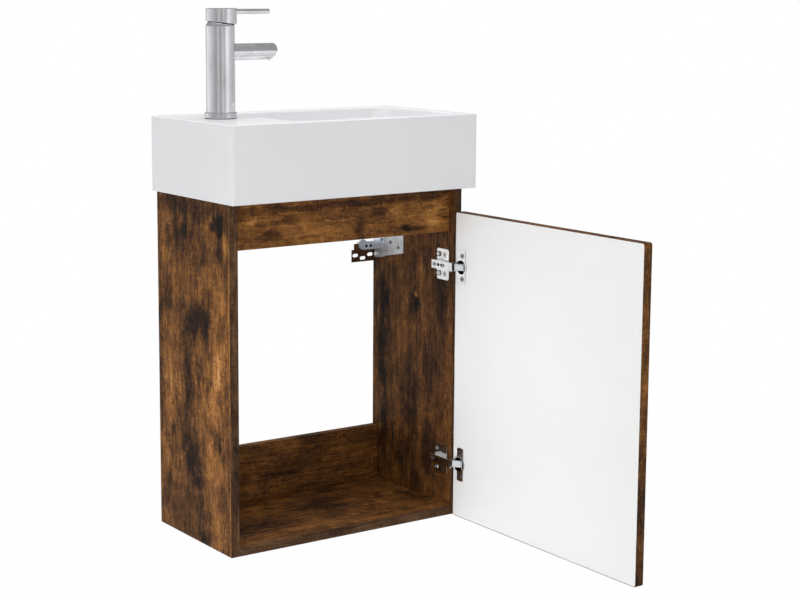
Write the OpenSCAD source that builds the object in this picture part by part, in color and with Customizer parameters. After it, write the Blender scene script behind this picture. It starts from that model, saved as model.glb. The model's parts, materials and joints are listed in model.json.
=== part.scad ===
// Wall-hung hand-wash vanity unit: a ceramic basin with a lever tap on a small oak-decor cabinet,
// whose single door is shown open at a right angle.
// Millimetres. X runs along the front, Y runs into the wall and Z is up.
// The wall is the plane Y = 0. The origin lies on it at mid-width, level with the outer wall slots.

/* [Cabinet] */
// Outside width of the cabinet
cabinet_w = 440; // [400:5:560]
// Depth of the cabinet from the wall to its front edges
cabinet_d = 228; // [215:1:300]
// Height of the cabinet
cabinet_h = 550; // [460:5:700]
// Thickness of the boards
board_t = 15; // [14:1:18]
// Thickness of the glued edge bands
band_t = 1; // [0.6:0.2:2]
// How far the front rail stands behind the front edges
rail_recess = 13; // [8:1:20]
// Height of the front rail
front_rail_h = 74; // [70:1:95]
// Height of the back rail
back_rail_h = 94; // [80:1:140]

/* [Joinery] */
// Distance of the cam fittings from the front and back of the bottom panel
cam_inset = 50; // [45:1:60]
// Distance of the upper cam fitting below the top of a rail
rail_cam_drop = 22; // [18:1:26]
// Distance from a cam fitting to the dowel beside it
dowel_pitch = 32; // [28:1:36]
// Radius of a cam disc
cam_r = 7.5; // [6:0.5:9]
// Depth of a cam disc
cam_h = 12; // [9:0.5:12.5]
// Distance from a board's end to the cam disc's centre
cam_reach = 24; // [20:1:30]
// Radius of a cam bolt
cam_bolt_r = 3; // [2.5:0.25:3.5]
// Radius of the bore for a cam bolt in the board's end
cam_bore_r = 4; // [3.8:0.1:4.5]
// Depth of bolts and dowels in a side panel
panel_bore_depth = 10; // [8:1:12]
// Radius of a dowel
dowel_r = 4; // [3:0.5:5]
// Length of a dowel
dowel_l = 30; // [25:1:40]
// Room around a dowel, screw or pin in its hole
fit_gap = 0.05; // [0.02:0.01:0.1]

/* [Door] */
// Thickness of the door
door_t = 15; // [14:1:18]
// Finger gap between the basin and the top of the door
door_top_gap = 40; // [34:1:50]
// How far the closed door stays inside the cabinet's sides
door_reveal = 1.5; // [1:0.5:3]
// Gap between the closed door and the cabinet's front edges
door_gap = 3; // [2.8:0.1:3.5]
// Radius of the door's corners
door_corner_r = 4; // [1.5:0.5:5]
// Thickness of the white sheet on the inside of the door
door_skin_t = 0.6; // [0.4:0.1:1]

/* [Hinges] */
// Distance of the upper and lower hinge from the door's ends
hinge_offset = 90; // [70:1:120]
// Distance from the door's hinge edge to the hinge axis
axis_inset = 6; // [5.5:0.25:6]
// Distance of the hinge axis in front of the cabinet's front edges
axis_reach = 8.9; // [8.9:0.1:9.5]
// Radius of the hinge cup
cup_r = 12.5; // [12.5:0.25:13]
// Depth of the hinge cup
cup_depth = 11.5; // [11:0.25:12]
// Wall thickness of the hinge cup
cup_wall = 1; // [0.8:0.1:1]
// Distance from the door's hinge edge to the cup's centre
cup_inset = 16.5; // [16.5:0.25:17]
// Thickness of the cup's flange
flange_t = 1.2; // [1:0.1:1.4]
// Length of the cup's flange
flange_l = 56; // [54:1:62]
// Width of the flange's wings
flange_w = 15; // [13:0.5:16]
// Distance from the door's hinge edge to the middle of the wings
wing_inset = 19.5; // [19:0.25:20.5]
// Distance between the two cup screws
cup_screw_pitch = 38; // [37:0.5:42]
// Depth of the cup's pin under the door's inner face
pin_depth = 4.2; // [4:0.1:4.5]
// Distance of the cup's pin from the cup's centre
pin_offset = 2; // [1.8:0.1:2.2]
// Radius of the cup's pin
pin_r = 1.25; // [1:0.05:1.3]
// Thickness of the mounting plate
plate_t = 2; // [1.5:0.25:2]
// Height of the mounting plate
plate_h = 51.5; // [48:0.5:56]
// Distance of the mounting plate's front edge from the cabinet's front
plate_front = 10; // [9:0.5:11]
// Width of the mounting plate
plate_w = 32; // [31:0.5:36]
// Distance of the plate's screws from the cabinet's front
plate_screw_inset = 37; // [35:0.5:38]
// Distance between the plate's two screws
plate_screw_pitch = 32; // [30:0.5:34]
// Height of the hinge arm above the side panel
arm_h = 11.6; // [11.6:0.1:12]
// Width of the hinge arm
arm_w = 14; // [14:0.1:14.4]
// Sheet thickness of the hinge arm
arm_wall = 1; // [0.8:0.1:1]
// How far the arm's nose stands in front of the cabinet
arm_nose = 10.7; // [10.5:0.1:11]
// How far the arm reaches behind the cabinet's front
arm_tail = 44; // [43:0.5:50]
// Length of the hinge link from its pin to its free end
link_l = 17.3; // [17:0.1:17.4]
// Thickness of the hinge link
link_t = 3.2; // [2.8:0.1:3.2]
// Direction of the link with the door open, in degrees from +X
link_open_angle = 132; // [131:0.5:133]

/* [Hangers] */
// Distance from the top of the cabinet down to the outer wall slots
hang_drop = 138; // [130:1:150]
// Width of a wall plate
wall_plate_w = 46; // [45:0.5:56]
// Distance from the wall slots to the wall plate's lower edge
wall_plate_below = 11.5; // [10.5:0.5:16]
// Height of a wall plate's flat part above the slots
wall_plate_above = 10; // [8:0.5:12]
// Height of the raised lip on a wall plate
lip_h = 11; // [9:0.5:14]
// Sheet thickness of a wall plate
wall_plate_t = 1.6; // [1.5:0.1:2]
// How far the lip's back stands off the wall
lip_stand = 3.8; // [3.6:0.1:5]
// Inset of the lip from the wall plate's free end
lip_inset = 2.5; // [1.5:0.5:4]
// Distance between neighbouring slots
slot_pitch = 15.5; // [15:0.25:17]
// Drop of the middle slot below the outer ones
slot_drop = 5.5; // [4:0.5:6]
// Length of a wall slot
slot_l = 12; // [9:0.5:12.5]
// Width of a wall slot
slot_w = 6; // [5:0.5:6.5]
// Gap between a wall plate and the side panel
wall_plate_gap = 0.5; // [0.3:0.1:1]
// Length of a hanger plate along the side panel
hanger_l = 85; // [80:1:100]
// Height of a hanger plate's back end above the slots
hanger_top = 52; // [50:1:60]
// Drop of a hanger plate's back end below the slots
hanger_drop = 5; // [3:0.5:8]
// Height of a hanger plate's lower front corner above the slots
hanger_rise = 12; // [8:1:14]
// Thickness of a hanger plate
hanger_t = 2; // [1.5:0.25:3]
// Sheet thickness of a hook
hook_t = 2; // [1.5:0.25:2.5]
// Width of a hook's tongue beside the hanger plate
hook_w = 32; // [28:1:38]
// Gap between a hook and the lip it hangs on
hook_gap = 0.3; // [0.2:0.05:0.4]

/* [Basin] */
// Width of the basin
basin_w = 460; // [450:5:620]
// Depth of the basin
basin_d = 255; // [245:5:340]
// Height of the basin
basin_h = 120; // [105:5:150]
// Radius of the basin's upright edges
basin_edge_r = 3; // [2:0.5:8]
// Thickness of the basin's outer walls
basin_wall = 9; // [8:0.5:12]
// Thickness of the ledge that carries the tap
ledge_t = 12; // [10:1:16]
// Width of the ledge from the basin's left side to the bowl
ledge_w = 125; // [120:1:140]
// Width of the rim at the right of the bowl
rim_right = 24; // [20:1:32]
// Width of the rim in front of the bowl
rim_front = 22; // [18:1:30]
// Width of the rim behind the bowl
rim_back = 27; // [20:1:40]
// Depth of the bowl
bowl_depth = 88; // [75:1:92]
// How far the bowl's floor is drawn in from its rim
bowl_draw = 24; // [15:1:30]
// Radius of the bowl's upright corners
bowl_corner_r = 26; // [18:1:32]
// Radius between the bowl's walls and floor
bowl_floor_r = 20; // [14:1:24]
// Thickness of the bowl's walls
bowl_shell = 8; // [7:0.5:10]
// Width of the foot under the sides and the back
foot_w = 30; // [26:1:36]
// Width of the foot under the front
foot_front_w = 58; // [56:1:64]
// Height of the foot
foot_h = 15; // [10:1:18]

/* [Waste] */
// Radius of the hole in the bowl's floor
waste_hole_r = 22.5; // [22:0.5:24]
// Radius of the waste's flange
waste_flange_r = 32; // [30:0.5:36]
// Radius of the threaded waste tube
waste_r = 20.9; // [20.5:0.1:21]
// Wall thickness of the waste tube
waste_wall = 3; // [2:0.25:4]
// Length of the waste tube below the bowl's floor
waste_l = 82; // [75:1:100]
// Radius of the plug
plug_r = 29; // [27:0.5:30]
// Travel of the plug
plug_lift = 7; // [5:0.5:9]

/* [Tap] */
// Distance of the tap from the basin's left side
tap_inset_x = 63; // [55:1:68]
// Distance of the tap from the basin's front
tap_inset_y = 140; // [110:1:145]
// Radius of the tap hole
tap_hole_r = 17.5; // [17:0.5:18]
// Radius of the tap's body
tap_r = 22.7; // [22.2:0.1:23]
// Height at which the tap's body ends and its collar starts
tap_body_h = 139; // [135:1:150]
// Radius of the base ring
ring_r = 25.85; // [25:0.05:27]
// Height of the base ring's top
ring_h = 10; // [8:0.5:13]
// Thickness of the rubber seal under the tap
tap_seal_t = 1; // [0.6:0.1:1.5]
// Height of the collar over the cartridge
collar_h = 10; // [9:0.5:10.5]
// Radius of the collar's top
collar_top_r = 19.4; // [19:0.1:19.8]
// Height of the spout's axis above the basin
spout_z = 102; // [92:0.5:108]
// Reach of the spout from the tap's axis
spout_l = 98; // [85:1:120]
// Radius of the spout
spout_r = 13.15; // [12.8:0.05:13.6]
// Slope of the spout's cut end, in degrees
spout_cut_angle = 45; // [40:1:50]
// Radius of the aerator
aerator_r = 9.5; // [9:0.1:9.8]
// How far the aerator stands out of the spout
aerator_out = 3; // [2:0.25:4]
// Radius of the handle cap
cap_r = 24.2; // [23.9:0.1:24.6]
// Offset of the cap towards the lever
cap_offset = 2.2; // [2:0.1:2.4]
// Thickness of the cap's skirt
cap_wall = 1.6; // [1.4:0.1:1.7]
// Height of the cap's top above the collar
cap_top = 21; // [20.5:0.5:23]
// Height of the cap's solid roof
cap_roof = 10.5; // [10:0.1:10.8]
// Slope of the cap's lower edge, in degrees
cap_slope = 7; // [6:0.5:8]
// Radius of the lever
lever_r = 4.15; // [3.6:0.05:4.4]
// Reach of the lever from the tap's axis
lever_l = 88.5; // [75:0.5:110]
// Depth of the lever's axis below the top of the cap
lever_drop = 5.6; // [5.2:0.1:5.8]
// Radius of the cartridge
cartridge_r = 17.4; // [16.5:0.1:17.6]
// Depth of the lever's pivot below the collar's top
pivot_drop = 13; // [12.5:0.25:13.5]

/* [Hidden] */
$fn = 64;

// Smallest overlap that a cut needs past a face
cut = 1;
z_top = hang_drop;
z_bot = z_top - cabinet_h;
x_out = cabinet_w / 2;
x_in = x_out - board_t;
y_front = -cabinet_d;
rail_y = y_front + rail_recess + board_t / 2;
back_y = -board_t / 2;
back_rail_top = z_bot + board_t + back_rail_h;
bottom_mid_z = z_bot + board_t / 2;

// Door and hinge axis, with the door at a right angle to the front
door_w = cabinet_w - 2 * door_reveal;
door_h = cabinet_h - door_top_gap;
axis_x = x_out - door_reveal - axis_inset;
axis_y = y_front - axis_reach;
door_in_x = axis_x - (axis_reach - door_gap);
door_edge_y = axis_y + axis_inset;
hinge_z = [z_bot + door_h - hinge_offset, z_bot + hinge_offset];
pin_x = door_in_x + pin_depth;
pin_y = door_edge_y - cup_inset - pin_offset;
// The same pin with the door closed, a quarter turn about the hinge axis
pin_shut_x = axis_x + (pin_y - axis_y);
pin_shut_y = axis_y - (pin_x - axis_x);
// Half length of the cup's pin, which ends in the cup's wall
pin_half = sqrt(pow(cup_r - cup_wall / 2, 2) - pow(pin_offset, 2));
link_gap = 0.3;
link_eye_r = 2.4;
block_start = 14;
wall_screw_r = 2.5;
plate_hole_z = plate_screw_pitch / 2;
plate_hole_inset = plate_screw_inset - 16;

// Basin, bowl and tap
basin_z = z_top;
ledge_z = basin_z + basin_h;
bowl_x0 = -basin_w / 2 + ledge_w;
bowl_x1 = basin_w / 2 - rim_right;
bowl_y0 = -basin_d + rim_front;
bowl_y1 = -rim_back;
floor_z = ledge_z - bowl_depth;
waste_x = (bowl_x0 + bowl_x1) / 2;
waste_y = (bowl_y0 + bowl_y1) / 2;
tap_x = -basin_w / 2 + tap_inset_x;
tap_y = -basin_d + tap_inset_y;
collar_z = tap_body_h + collar_h;
pivot_z = collar_z - pivot_drop;
cap_z = collar_z + cap_top;
lever_z = cap_z - lever_drop;
stem_half = 3;
rotor_r = 9.5;
// Turning insert and stem of the cartridge, measured down from the lever's pivot
cartridge_h = 29;
rotor_drop = 15;
rotor_h = 22;
stem_low = 10.5;
pivot_pin_r = 1.5;
// The spout's shank ends in the body's wall, beside the cartridge
spout_shank_r = 10.9;
spout_shank_x = cartridge_r + 0.8;
// Middle of the spout's cut face, and the place of the aerator on it
cut_drop = 5.6;
cut_x = spout_l - 7.5;
aerator_l = 6;

// Fixing parts of the tap and the waste
stud_r = 4;
stud_x = -10;
inlet_r = 5;
inlet_x = 5.5;
inlet_y = 8;
inlet_turn = 15;
gasket_t = 3;
washer_t = 2.5;
tap_nut_h = 12;
stud_end = 18;
dish_r = waste_flange_r + 1;
dish_h = 3;
// Height of the underside of the bowl at the waste
waste_under_z = floor_z - bowl_shell;
seal_t = 2;
waste_nut_h = 9;
waste_nut_r = 30;
waste_nut_z = waste_under_z - 2 * seal_t - waste_nut_h;
// The thread ends below the nut, and the tube is thinner from there up
thread_end_z = waste_nut_z - 1;
thread_depth = 0.5;
// Guide and stem of the plug
plug_guide_drop = 30;
plug_guide_t = 4;
plug_stem_l = 40;
plug_stem_r = 4;

// Cam fittings: [y, z, 0 for a pocket from below or 1 for a pocket from the back]
CAM_SPOTS = [
  [-cam_inset, bottom_mid_z, 0],
  [y_front + cam_inset, bottom_mid_z, 0],
  [rail_y, z_top - rail_cam_drop, 1],
  [back_y, back_rail_top - rail_cam_drop, 1]];
// Dowels: [y, z]
DOWEL_SPOTS = [
  [-cam_inset - dowel_pitch, bottom_mid_z],
  [y_front + cam_inset + dowel_pitch, bottom_mid_z],
  [rail_y, z_top - rail_cam_drop - dowel_pitch],
  [back_y, back_rail_top - rail_cam_drop - dowel_pitch]];
// Hook of a hanger
lip_top = wall_plate_above + lip_h;
// Back end of a hanger plate, clear of the wall plate's lip
hanger_back = lip_stand + wall_plate_t + hook_gap;
hook_leg_l = 30;
rivet_r = 1.5;
rivet_edge = 8;
rivet_pitch = 12;
rivet_reach = 25;
hook_rivet_y = -hanger_back - rivet_reach;
hook_rivet_z = [lip_top + rivet_edge, lip_top + rivet_edge + rivet_pitch];
hook_y = -lip_stand - wall_plate_t - hook_gap - hook_t;
// Hanger screws: [y, z], level with the slots at z = 0
hanger_screw_r = 2;
hanger_screw_edge = 8;
hanger_screw_pitch = 23;
hanger_screw_rise = 6.5;
HANGER_SPOTS = [
  [-hanger_l + hanger_screw_edge, hanger_rise + hanger_screw_edge],
  [-hanger_l + hanger_screw_edge + hanger_screw_pitch, hanger_rise + hanger_screw_edge + hanger_screw_rise],
  [hook_y - hook_leg_l - hanger_screw_edge, hanger_top - hanger_screw_edge]];
// Arm screws: distance behind the cabinet's front
ARM_SPOTS = [17, 26, 36];

OAK = [0.36, 0.24, 0.15];
OAK_EDGE = [0.30, 0.20, 0.12];
WHITE = [0.95, 0.95, 0.94];
CERAMIC = [0.93, 0.93, 0.94];
CHROME = [0.80, 0.81, 0.83];
NICKEL = [0.70, 0.70, 0.70];
ZINC = [0.60, 0.61, 0.62];
BRASS = [0.75, 0.62, 0.35];
BEECH = [0.80, 0.66, 0.45];
RUBBER = [0.12, 0.12, 0.12];
POLYMER = [0.85, 0.85, 0.80];

// Flat shape with round corners, its lower left corner at the origin
module rounded(w, h, r) {
  translate([r, 0]) square([w - 2 * r, h]);
  translate([0, r]) square([w, h - 2 * r]);
  for (x = [r, w - r], y = [r, h - r])
    translate([x, y]) circle(r);
}

// Slab with round corners in the XZ plane, from y = 0 to y = t
module upright_slab(w, h, t, r) {
  translate([0, t, 0])
    rotate([90, 0, 0])
      linear_extrude(t) rounded(w, h, r);
}

// Cylinder along X from x = 0
module rod_x(r, l) {
  rotate([0, 90, 0]) cylinder(r = r, h = l);
}

// Cylinder along Y from y = 0
module rod_y(r, l) {
  rotate([-90, 0, 0]) cylinder(r = r, h = l);
}

// Pan-head screw: head above z = 0, shank below, cross recess in the head
module screw(head_r, head_h, r, l) {
  slot_t = head_r / 4;
  difference() {
    union() {
      cylinder(r1 = head_r, r2 = head_r * 0.8, h = head_h);
      translate([0, 0, -l]) cylinder(r = r, h = l + head_h / 2);
    }
    for (a = [0, 90])
      rotate(a)
        translate([-head_r * 0.6, -slot_t / 2, head_h * 0.4])
          cube([head_r * 1.2, slot_t, head_h]);
  }
}

// Copies its children to the left and right side of the cabinet
module both_sides() {
  for (s = [-1, 1])
    mirror([s < 0 ? 1 : 0, 0, 0]) children();
}

// Joint holes in the right-hand end of a board, for the spots chosen by the caller
module end_bores(cams, dowels) {
  for (i = cams) {
    spot = CAM_SPOTS[i];
    translate([x_in - cam_reach, spot[0], spot[1]]) rod_x(cam_bore_r, cam_reach + cut);
    cam_pocket(spot);
  }
  for (i = dowels)
    translate([x_in - (dowel_l - panel_bore_depth) - fit_gap, DOWEL_SPOTS[i][0], DOWEL_SPOTS[i][1]])
      rod_x(dowel_r + fit_gap, dowel_l);
}

// Pocket for one cam disc
module cam_pocket(spot) {
  translate([x_in - cam_reach, spot[0], spot[1]])
    if (spot[2] == 0)
      translate([0, 0, -board_t / 2 - cut]) cylinder(r = cam_r + fit_gap, h = cam_h + cut + fit_gap);
    else
      translate([0, board_t / 2 - cam_h - fit_gap, 0]) rod_y(cam_r + fit_gap, cam_h + cut + fit_gap);
}

// Right side panel before its hinge holes
module side_board() {
  difference() {
    translate([x_in, y_front + band_t, z_bot]) cube([board_t, cabinet_d - band_t, cabinet_h]);
    for (spot = CAM_SPOTS)
      translate([x_in - cut, spot[0], spot[1]]) rod_x(cam_bolt_r, panel_bore_depth + cut);
    for (spot = DOWEL_SPOTS)
      translate([x_in - cut, spot[0], spot[1]])
        rod_x(dowel_r + fit_gap, panel_bore_depth + cut + fit_gap);
    for (spot = HANGER_SPOTS)
      translate([x_in - cut, spot[0], spot[1]]) rod_x(hanger_screw_r + fit_gap, panel_bore_depth + cut);
  }
}

module side_panel_left() {
  color(OAK) mirror([1, 0, 0]) side_board();
}

module side_panel_right() {
  color(OAK)
    difference() {
      side_board();
      for (z = hinge_z, dz = [-plate_hole_z, plate_hole_z])
        translate([x_in - cut, y_front + plate_screw_inset, z + dz])
          rod_x(wall_screw_r + fit_gap, panel_bore_depth + cut);
    }
}

module bottom_panel() {
  color(OAK)
    difference() {
      translate([-x_in, y_front + band_t, z_bot]) cube([2 * x_in, cabinet_d - band_t, board_t]);
      both_sides() end_bores([0, 1], [0, 1]);
    }
}

module front_rail() {
  color(OAK)
    difference() {
      translate([-x_in, rail_y - board_t / 2, z_top - front_rail_h]) cube([2 * x_in, board_t, front_rail_h]);
      both_sides() end_bores([2], [2]);
    }
}

module back_rail() {
  color(OAK)
    difference() {
      translate([-x_in, -board_t, z_bot + board_t]) cube([2 * x_in, board_t, back_rail_h]);
      both_sides() end_bores([3], [3]);
    }
}

module edge_band_right() {
  color(OAK_EDGE)
    translate([x_in, y_front, z_bot]) cube([board_t, band_t, cabinet_h]);
}

module edge_band_left() {
  mirror([1, 0, 0]) edge_band_right();
}

module edge_band_bottom() {
  color(OAK_EDGE)
    translate([-x_in, y_front, z_bot]) cube([2 * x_in, band_t, board_t]);
}

// Cam disc in its pocket, open towards its bolt
module cam_disc(spot) {
  slot_h = 0.8;
  translate([x_in - cam_reach, spot[0], spot[1]])
    rotate([spot[2] == 0 ? 0 : 90, 0, 0])
      difference() {
        translate([0, 0, -board_t / 2]) cylinder(r = cam_r, h = cam_h);
        rod_x(cam_bore_r, cam_r + cut);
        sphere(cam_bore_r);
        translate([-cam_r * 0.6, -slot_h / 2, -board_t / 2 - cut]) cube([cam_r * 1.2, slot_h, cut + 1.2]);
        translate([-slot_h / 2, -cam_r * 0.6, -board_t / 2 - cut]) cube([slot_h, cam_r * 1.2, cut + 1.2]);
      }
}

module cam_discs() {
  color(ZINC)
    both_sides()
      for (spot = CAM_SPOTS)
        cam_disc(spot);
}

// Bolt from the side panel to the middle of its cam disc
module cam_bolts() {
  neck_r = cam_bolt_r - 1;
  neck_l = 5;
  color(NICKEL)
    both_sides()
      for (spot = CAM_SPOTS)
        translate([x_in, spot[0], spot[1]]) {
          translate([neck_l - cam_reach, 0, 0]) rod_x(cam_bolt_r, cam_reach - neck_l + panel_bore_depth);
          translate([-cam_reach, 0, 0]) rod_x(neck_r, neck_l + 1);
          translate([-cam_reach, 0, 0]) sphere(cam_bolt_r);
        }
}

module dowels() {
  color(BEECH)
    both_sides()
      for (spot = DOWEL_SPOTS)
        translate([x_in + panel_bore_depth - dowel_l, spot[0], spot[1]]) rod_x(dowel_r, dowel_l);
}

// Door frame of reference: x from the hinge edge, y from the inner face outwards
module on_door() {
  translate([door_in_x, door_edge_y, 0]) rotate([0, 0, -90]) children();
}

// Places its children at both cups, in the door's frame
module at_cups() {
  for (z = hinge_z)
    translate([cup_inset, 0, z]) children();
}

module door_panel() {
  w = door_w - 2 * band_t;
  h = door_h - 2 * band_t;
  color(OAK)
    on_door()
      difference() {
        translate([band_t, door_skin_t, z_bot + band_t])
          upright_slab(w, h, door_t - door_skin_t, door_corner_r - band_t);
        at_cups() translate([0, -cut, 0]) rod_y(cup_r + fit_gap, cup_depth + cut + fit_gap);
        cup_screw_holes();
      }
}

module cup_screw_holes() {
  for (z = hinge_z, dz = [-1, 1])
    translate([wing_inset, -cut, z + dz * cup_screw_pitch / 2]) rod_y(1.8 + fit_gap, 9 + cut);
}

module door_inner_sheet() {
  color(WHITE)
    on_door()
      difference() {
        translate([band_t, 0, z_bot + band_t])
          upright_slab(door_w - 2 * band_t, door_h - 2 * band_t, door_skin_t, door_corner_r - band_t);
        at_cups() translate([0, -cut, 0]) rod_y(cup_r + fit_gap, door_skin_t + 2 * cut);
        cup_screw_holes();
      }
}

module door_edge_band() {
  color(OAK_EDGE)
    on_door()
      difference() {
        translate([0, 0, z_bot]) upright_slab(door_w, door_h, door_t, door_corner_r);
        translate([band_t, -cut, z_bot + band_t])
          upright_slab(door_w - 2 * band_t, door_h - 2 * band_t, door_t + 2 * cut, door_corner_r - band_t);
      }
}

// Hinge frame of reference: x from the side panel's face, y behind the cabinet's front
module on_panel(z) {
  translate([x_in, y_front, z]) children();
}

// Screw plate with a raised block that carries the arm
module hinge_plate(z) {
  wing_r = 4;
  hole_r = 2.2;
  block_w = arm_w - 2 * arm_wall - 2 * link_gap / 3;
  color(NICKEL)
    on_panel(z)
      difference() {
        union() {
          translate([-plate_t, plate_front, -plate_h / 2])
            rotate([90, 0, 90]) linear_extrude(plate_t) rounded(plate_w, plate_h, wing_r);
          translate([-arm_h + arm_wall, block_start, -block_w / 2])
            cube([arm_h - arm_wall, arm_tail - block_start - 2, block_w]);
        }
        for (dz = [-plate_hole_z, plate_hole_z]) {
          translate([-plate_t - cut, plate_screw_inset, dz]) rod_x(wall_screw_r + fit_gap, plate_t + 2 * cut);
          translate([-plate_t - cut, plate_hole_inset, dz]) rod_x(hole_r, plate_t + 2 * cut);
        }
        for (y = ARM_SPOTS)
          translate([-arm_h, y, 0]) rod_x(1.5 + fit_gap, 7);
      }
}

module hinge_plate_upper() {
  hinge_plate(hinge_z[0]);
}

module hinge_plate_lower() {
  hinge_plate(hinge_z[1]);
}

// Channel arm, open towards the side panel, with notches that clear the cup's pin
module hinge_arm(z) {
  side_gap = 0.2;
  notch_r = pin_r + 0.4;
  arm_l = arm_nose + arm_tail;
  notch_x = pin_shut_x - x_in;
  notch_y = pin_shut_y - y_front;
  color(CHROME)
    on_panel(z)
      difference() {
        translate([-arm_h, -arm_nose, -arm_w / 2]) cube([arm_h - plate_t - side_gap, arm_l, arm_w]);
        translate([-arm_h + arm_wall, -arm_nose - cut, -arm_w / 2 + arm_wall])
          cube([arm_h, arm_l + 2 * cut, arm_w - 2 * arm_wall]);
        translate([notch_x, notch_y, -arm_w]) cylinder(r = notch_r, h = 2 * arm_w);
        for (dz = [-arm_w / 2 - cut, arm_w / 2 - arm_wall - link_gap])
          translate([notch_x - notch_r, -arm_nose - cut, dz])
            cube([2 * notch_r, notch_y + arm_nose + cut, arm_wall + cut + link_gap]);
        for (y = ARM_SPOTS)
          translate([-arm_h - cut, y, 0]) rod_x(1.5 + fit_gap, arm_wall + 2 * cut);
      }
}

module hinge_arm_upper() {
  hinge_arm(hinge_z[0]);
}

module hinge_arm_lower() {
  hinge_arm(hinge_z[1]);
}

// Link from the cup's pin into the nose of the arm
module hinge_link(z) {
  link_w = arm_w - 2 * arm_wall - 2 * link_gap;
  color(CHROME)
    translate([pin_x, pin_y, z - link_w / 2])
      rotate(link_open_angle)
        difference() {
          union() {
            cylinder(r = link_eye_r, h = link_w);
            translate([0, -link_t / 2, 0]) cube([link_l - link_t / 2, link_t, link_w]);
            translate([link_l - link_t / 2, 0, 0]) cylinder(r = link_t / 2, h = link_w);
          }
          translate([0, 0, -cut]) cylinder(r = pin_r + fit_gap, h = link_w + 2 * cut);
        }
}

module hinge_link_upper() {
  hinge_link(hinge_z[0]);
}

module hinge_link_lower() {
  hinge_link(hinge_z[1]);
}

// Cup with its flange, in the door's frame
module hinge_cup(z) {
  flange_r = cup_r + 1;
  color(CHROME)
    on_door()
      translate([cup_inset, 0, z])
        difference() {
          union() {
            rod_y(cup_r, cup_depth);
            translate([0, -flange_t, 0]) rod_y(flange_r, flange_t);
            translate([wing_inset - cup_inset - flange_w / 2, -flange_t, -flange_l / 2])
              upright_slab(flange_w, flange_l, flange_t, 3);
          }
          translate([0, -flange_t - cut, 0]) rod_y(cup_r - cup_wall, cup_depth + flange_t + cut - cup_wall);
          for (dz = [-1, 1])
            translate([wing_inset - cup_inset, -flange_t - cut, dz * cup_screw_pitch / 2])
              rod_y(1.8 + fit_gap, flange_t + 2 * cut);
          translate([pin_offset, pin_depth, -pin_half]) cylinder(r = pin_r + fit_gap, h = 2 * pin_half);
        }
}

module hinge_cup_upper() {
  hinge_cup(hinge_z[0]);
}

module hinge_cup_lower() {
  hinge_cup(hinge_z[1]);
}

module hinge_pins() {
  color(NICKEL)
    for (z = hinge_z)
      translate([pin_x, pin_y, z - pin_half + fit_gap]) cylinder(r = pin_r, h = 2 * (pin_half - fit_gap));
}

// Two screws hold each mounting plate
module plate_screws() {
  color(NICKEL)
    for (z = hinge_z, dz = [-plate_hole_z, plate_hole_z])
      translate([x_in - plate_t, y_front + plate_screw_inset, z + dz])
        rotate([0, -90, 0]) screw(4.2, 2, wall_screw_r, panel_bore_depth);
}

// Three screws on each arm
module arm_screws() {
  color(NICKEL)
    for (z = hinge_z, y = ARM_SPOTS)
      translate([x_in - arm_h, y_front + y, z]) rotate([0, -90, 0]) screw(2.8, 1.2, 1.5, 6);
}

// Two screws hold each cup
module cup_screws() {
  color(NICKEL)
    on_door()
      for (z = hinge_z, dz = [-1, 1])
        translate([wing_inset, -flange_t, z + dz * cup_screw_pitch / 2])
          rotate([90, 0, 0]) screw(3.2, 1, 1.8, 9);
}

// Wall plate at the right: three slots below, a lip that stands off the wall above
module wall_plate() {
  x1 = x_in - wall_plate_gap;
  x0 = x1 - wall_plate_w;
  mid = (x0 + x1) / 2;
  lip_z = wall_plate_above;
  color(ZINC)
    difference() {
      union() {
        translate([x0, -wall_plate_t, -wall_plate_below])
          cube([wall_plate_w, wall_plate_t, wall_plate_below + wall_plate_above]);
        translate([x0 + lip_inset, -lip_stand - wall_plate_t, lip_z - wall_plate_t])
          cube([wall_plate_w - lip_inset, lip_stand + wall_plate_t, wall_plate_t]);
        translate([x0 + lip_inset, -lip_stand - wall_plate_t, lip_z - wall_plate_t])
          cube([wall_plate_w - lip_inset, wall_plate_t, lip_h + wall_plate_t]);
      }
      for (i = [-1, 0, 1])
        translate([mid + i * slot_pitch, 0, i == 0 ? -slot_drop : 0]) wall_slot();
    }
}

// Slot along X through a wall plate
module wall_slot() {
  straight = slot_l - slot_w;
  translate([0, -wall_plate_t - cut, 0]) {
    for (x = [-straight / 2, straight / 2])
      translate([x, 0, 0]) rod_y(slot_w / 2, wall_plate_t + 2 * cut);
    translate([-straight / 2, 0, -slot_w / 2]) cube([straight, wall_plate_t + 2 * cut, slot_w]);
  }
}

module wall_plate_right() {
  wall_plate();
}

module wall_plate_left() {
  mirror([1, 0, 0]) wall_plate();
}

// Flat plate screwed to the inside of the right panel, its lower edge rising to the front
module hanger_plate() {
  step_l = 28;
  step_h = 1.5;
  slope = (hanger_rise + hanger_drop) / hanger_l;
  step_z = -hanger_drop + slope * step_l;
  outline = [
    [-hanger_back, -hanger_drop],
    [-hanger_back - step_l, step_z - step_h],
    [-hanger_back - step_l, step_z],
    [-hanger_back - hanger_l, hanger_rise],
    [-hanger_back - hanger_l, hanger_top],
    [-hanger_back, hanger_top]];
  color(ZINC)
    difference() {
      translate([x_in - hanger_t, 0, 0]) rotate([90, 0, 90]) linear_extrude(hanger_t) polygon(outline);
      for (spot = HANGER_SPOTS)
        translate([x_in - hanger_t - cut, spot[0], spot[1]])
          rod_x(hanger_screw_r + fit_gap, hanger_t + 2 * cut);
      for (z = hook_rivet_z)
        translate([x_in - hanger_t - cut, hook_rivet_y, z]) rod_x(rivet_r + fit_gap, hanger_t + 2 * cut);
      translate([x_in - hanger_t - cut, HANGER_SPOTS[0][0], HANGER_SPOTS[0][1] + 7.5])
        rod_x(1.2, hanger_t + 2 * cut);
    }
}

module hanger_plate_right() {
  hanger_plate();
}

module hanger_plate_left() {
  mirror([1, 0, 0]) hanger_plate();
}

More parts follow.
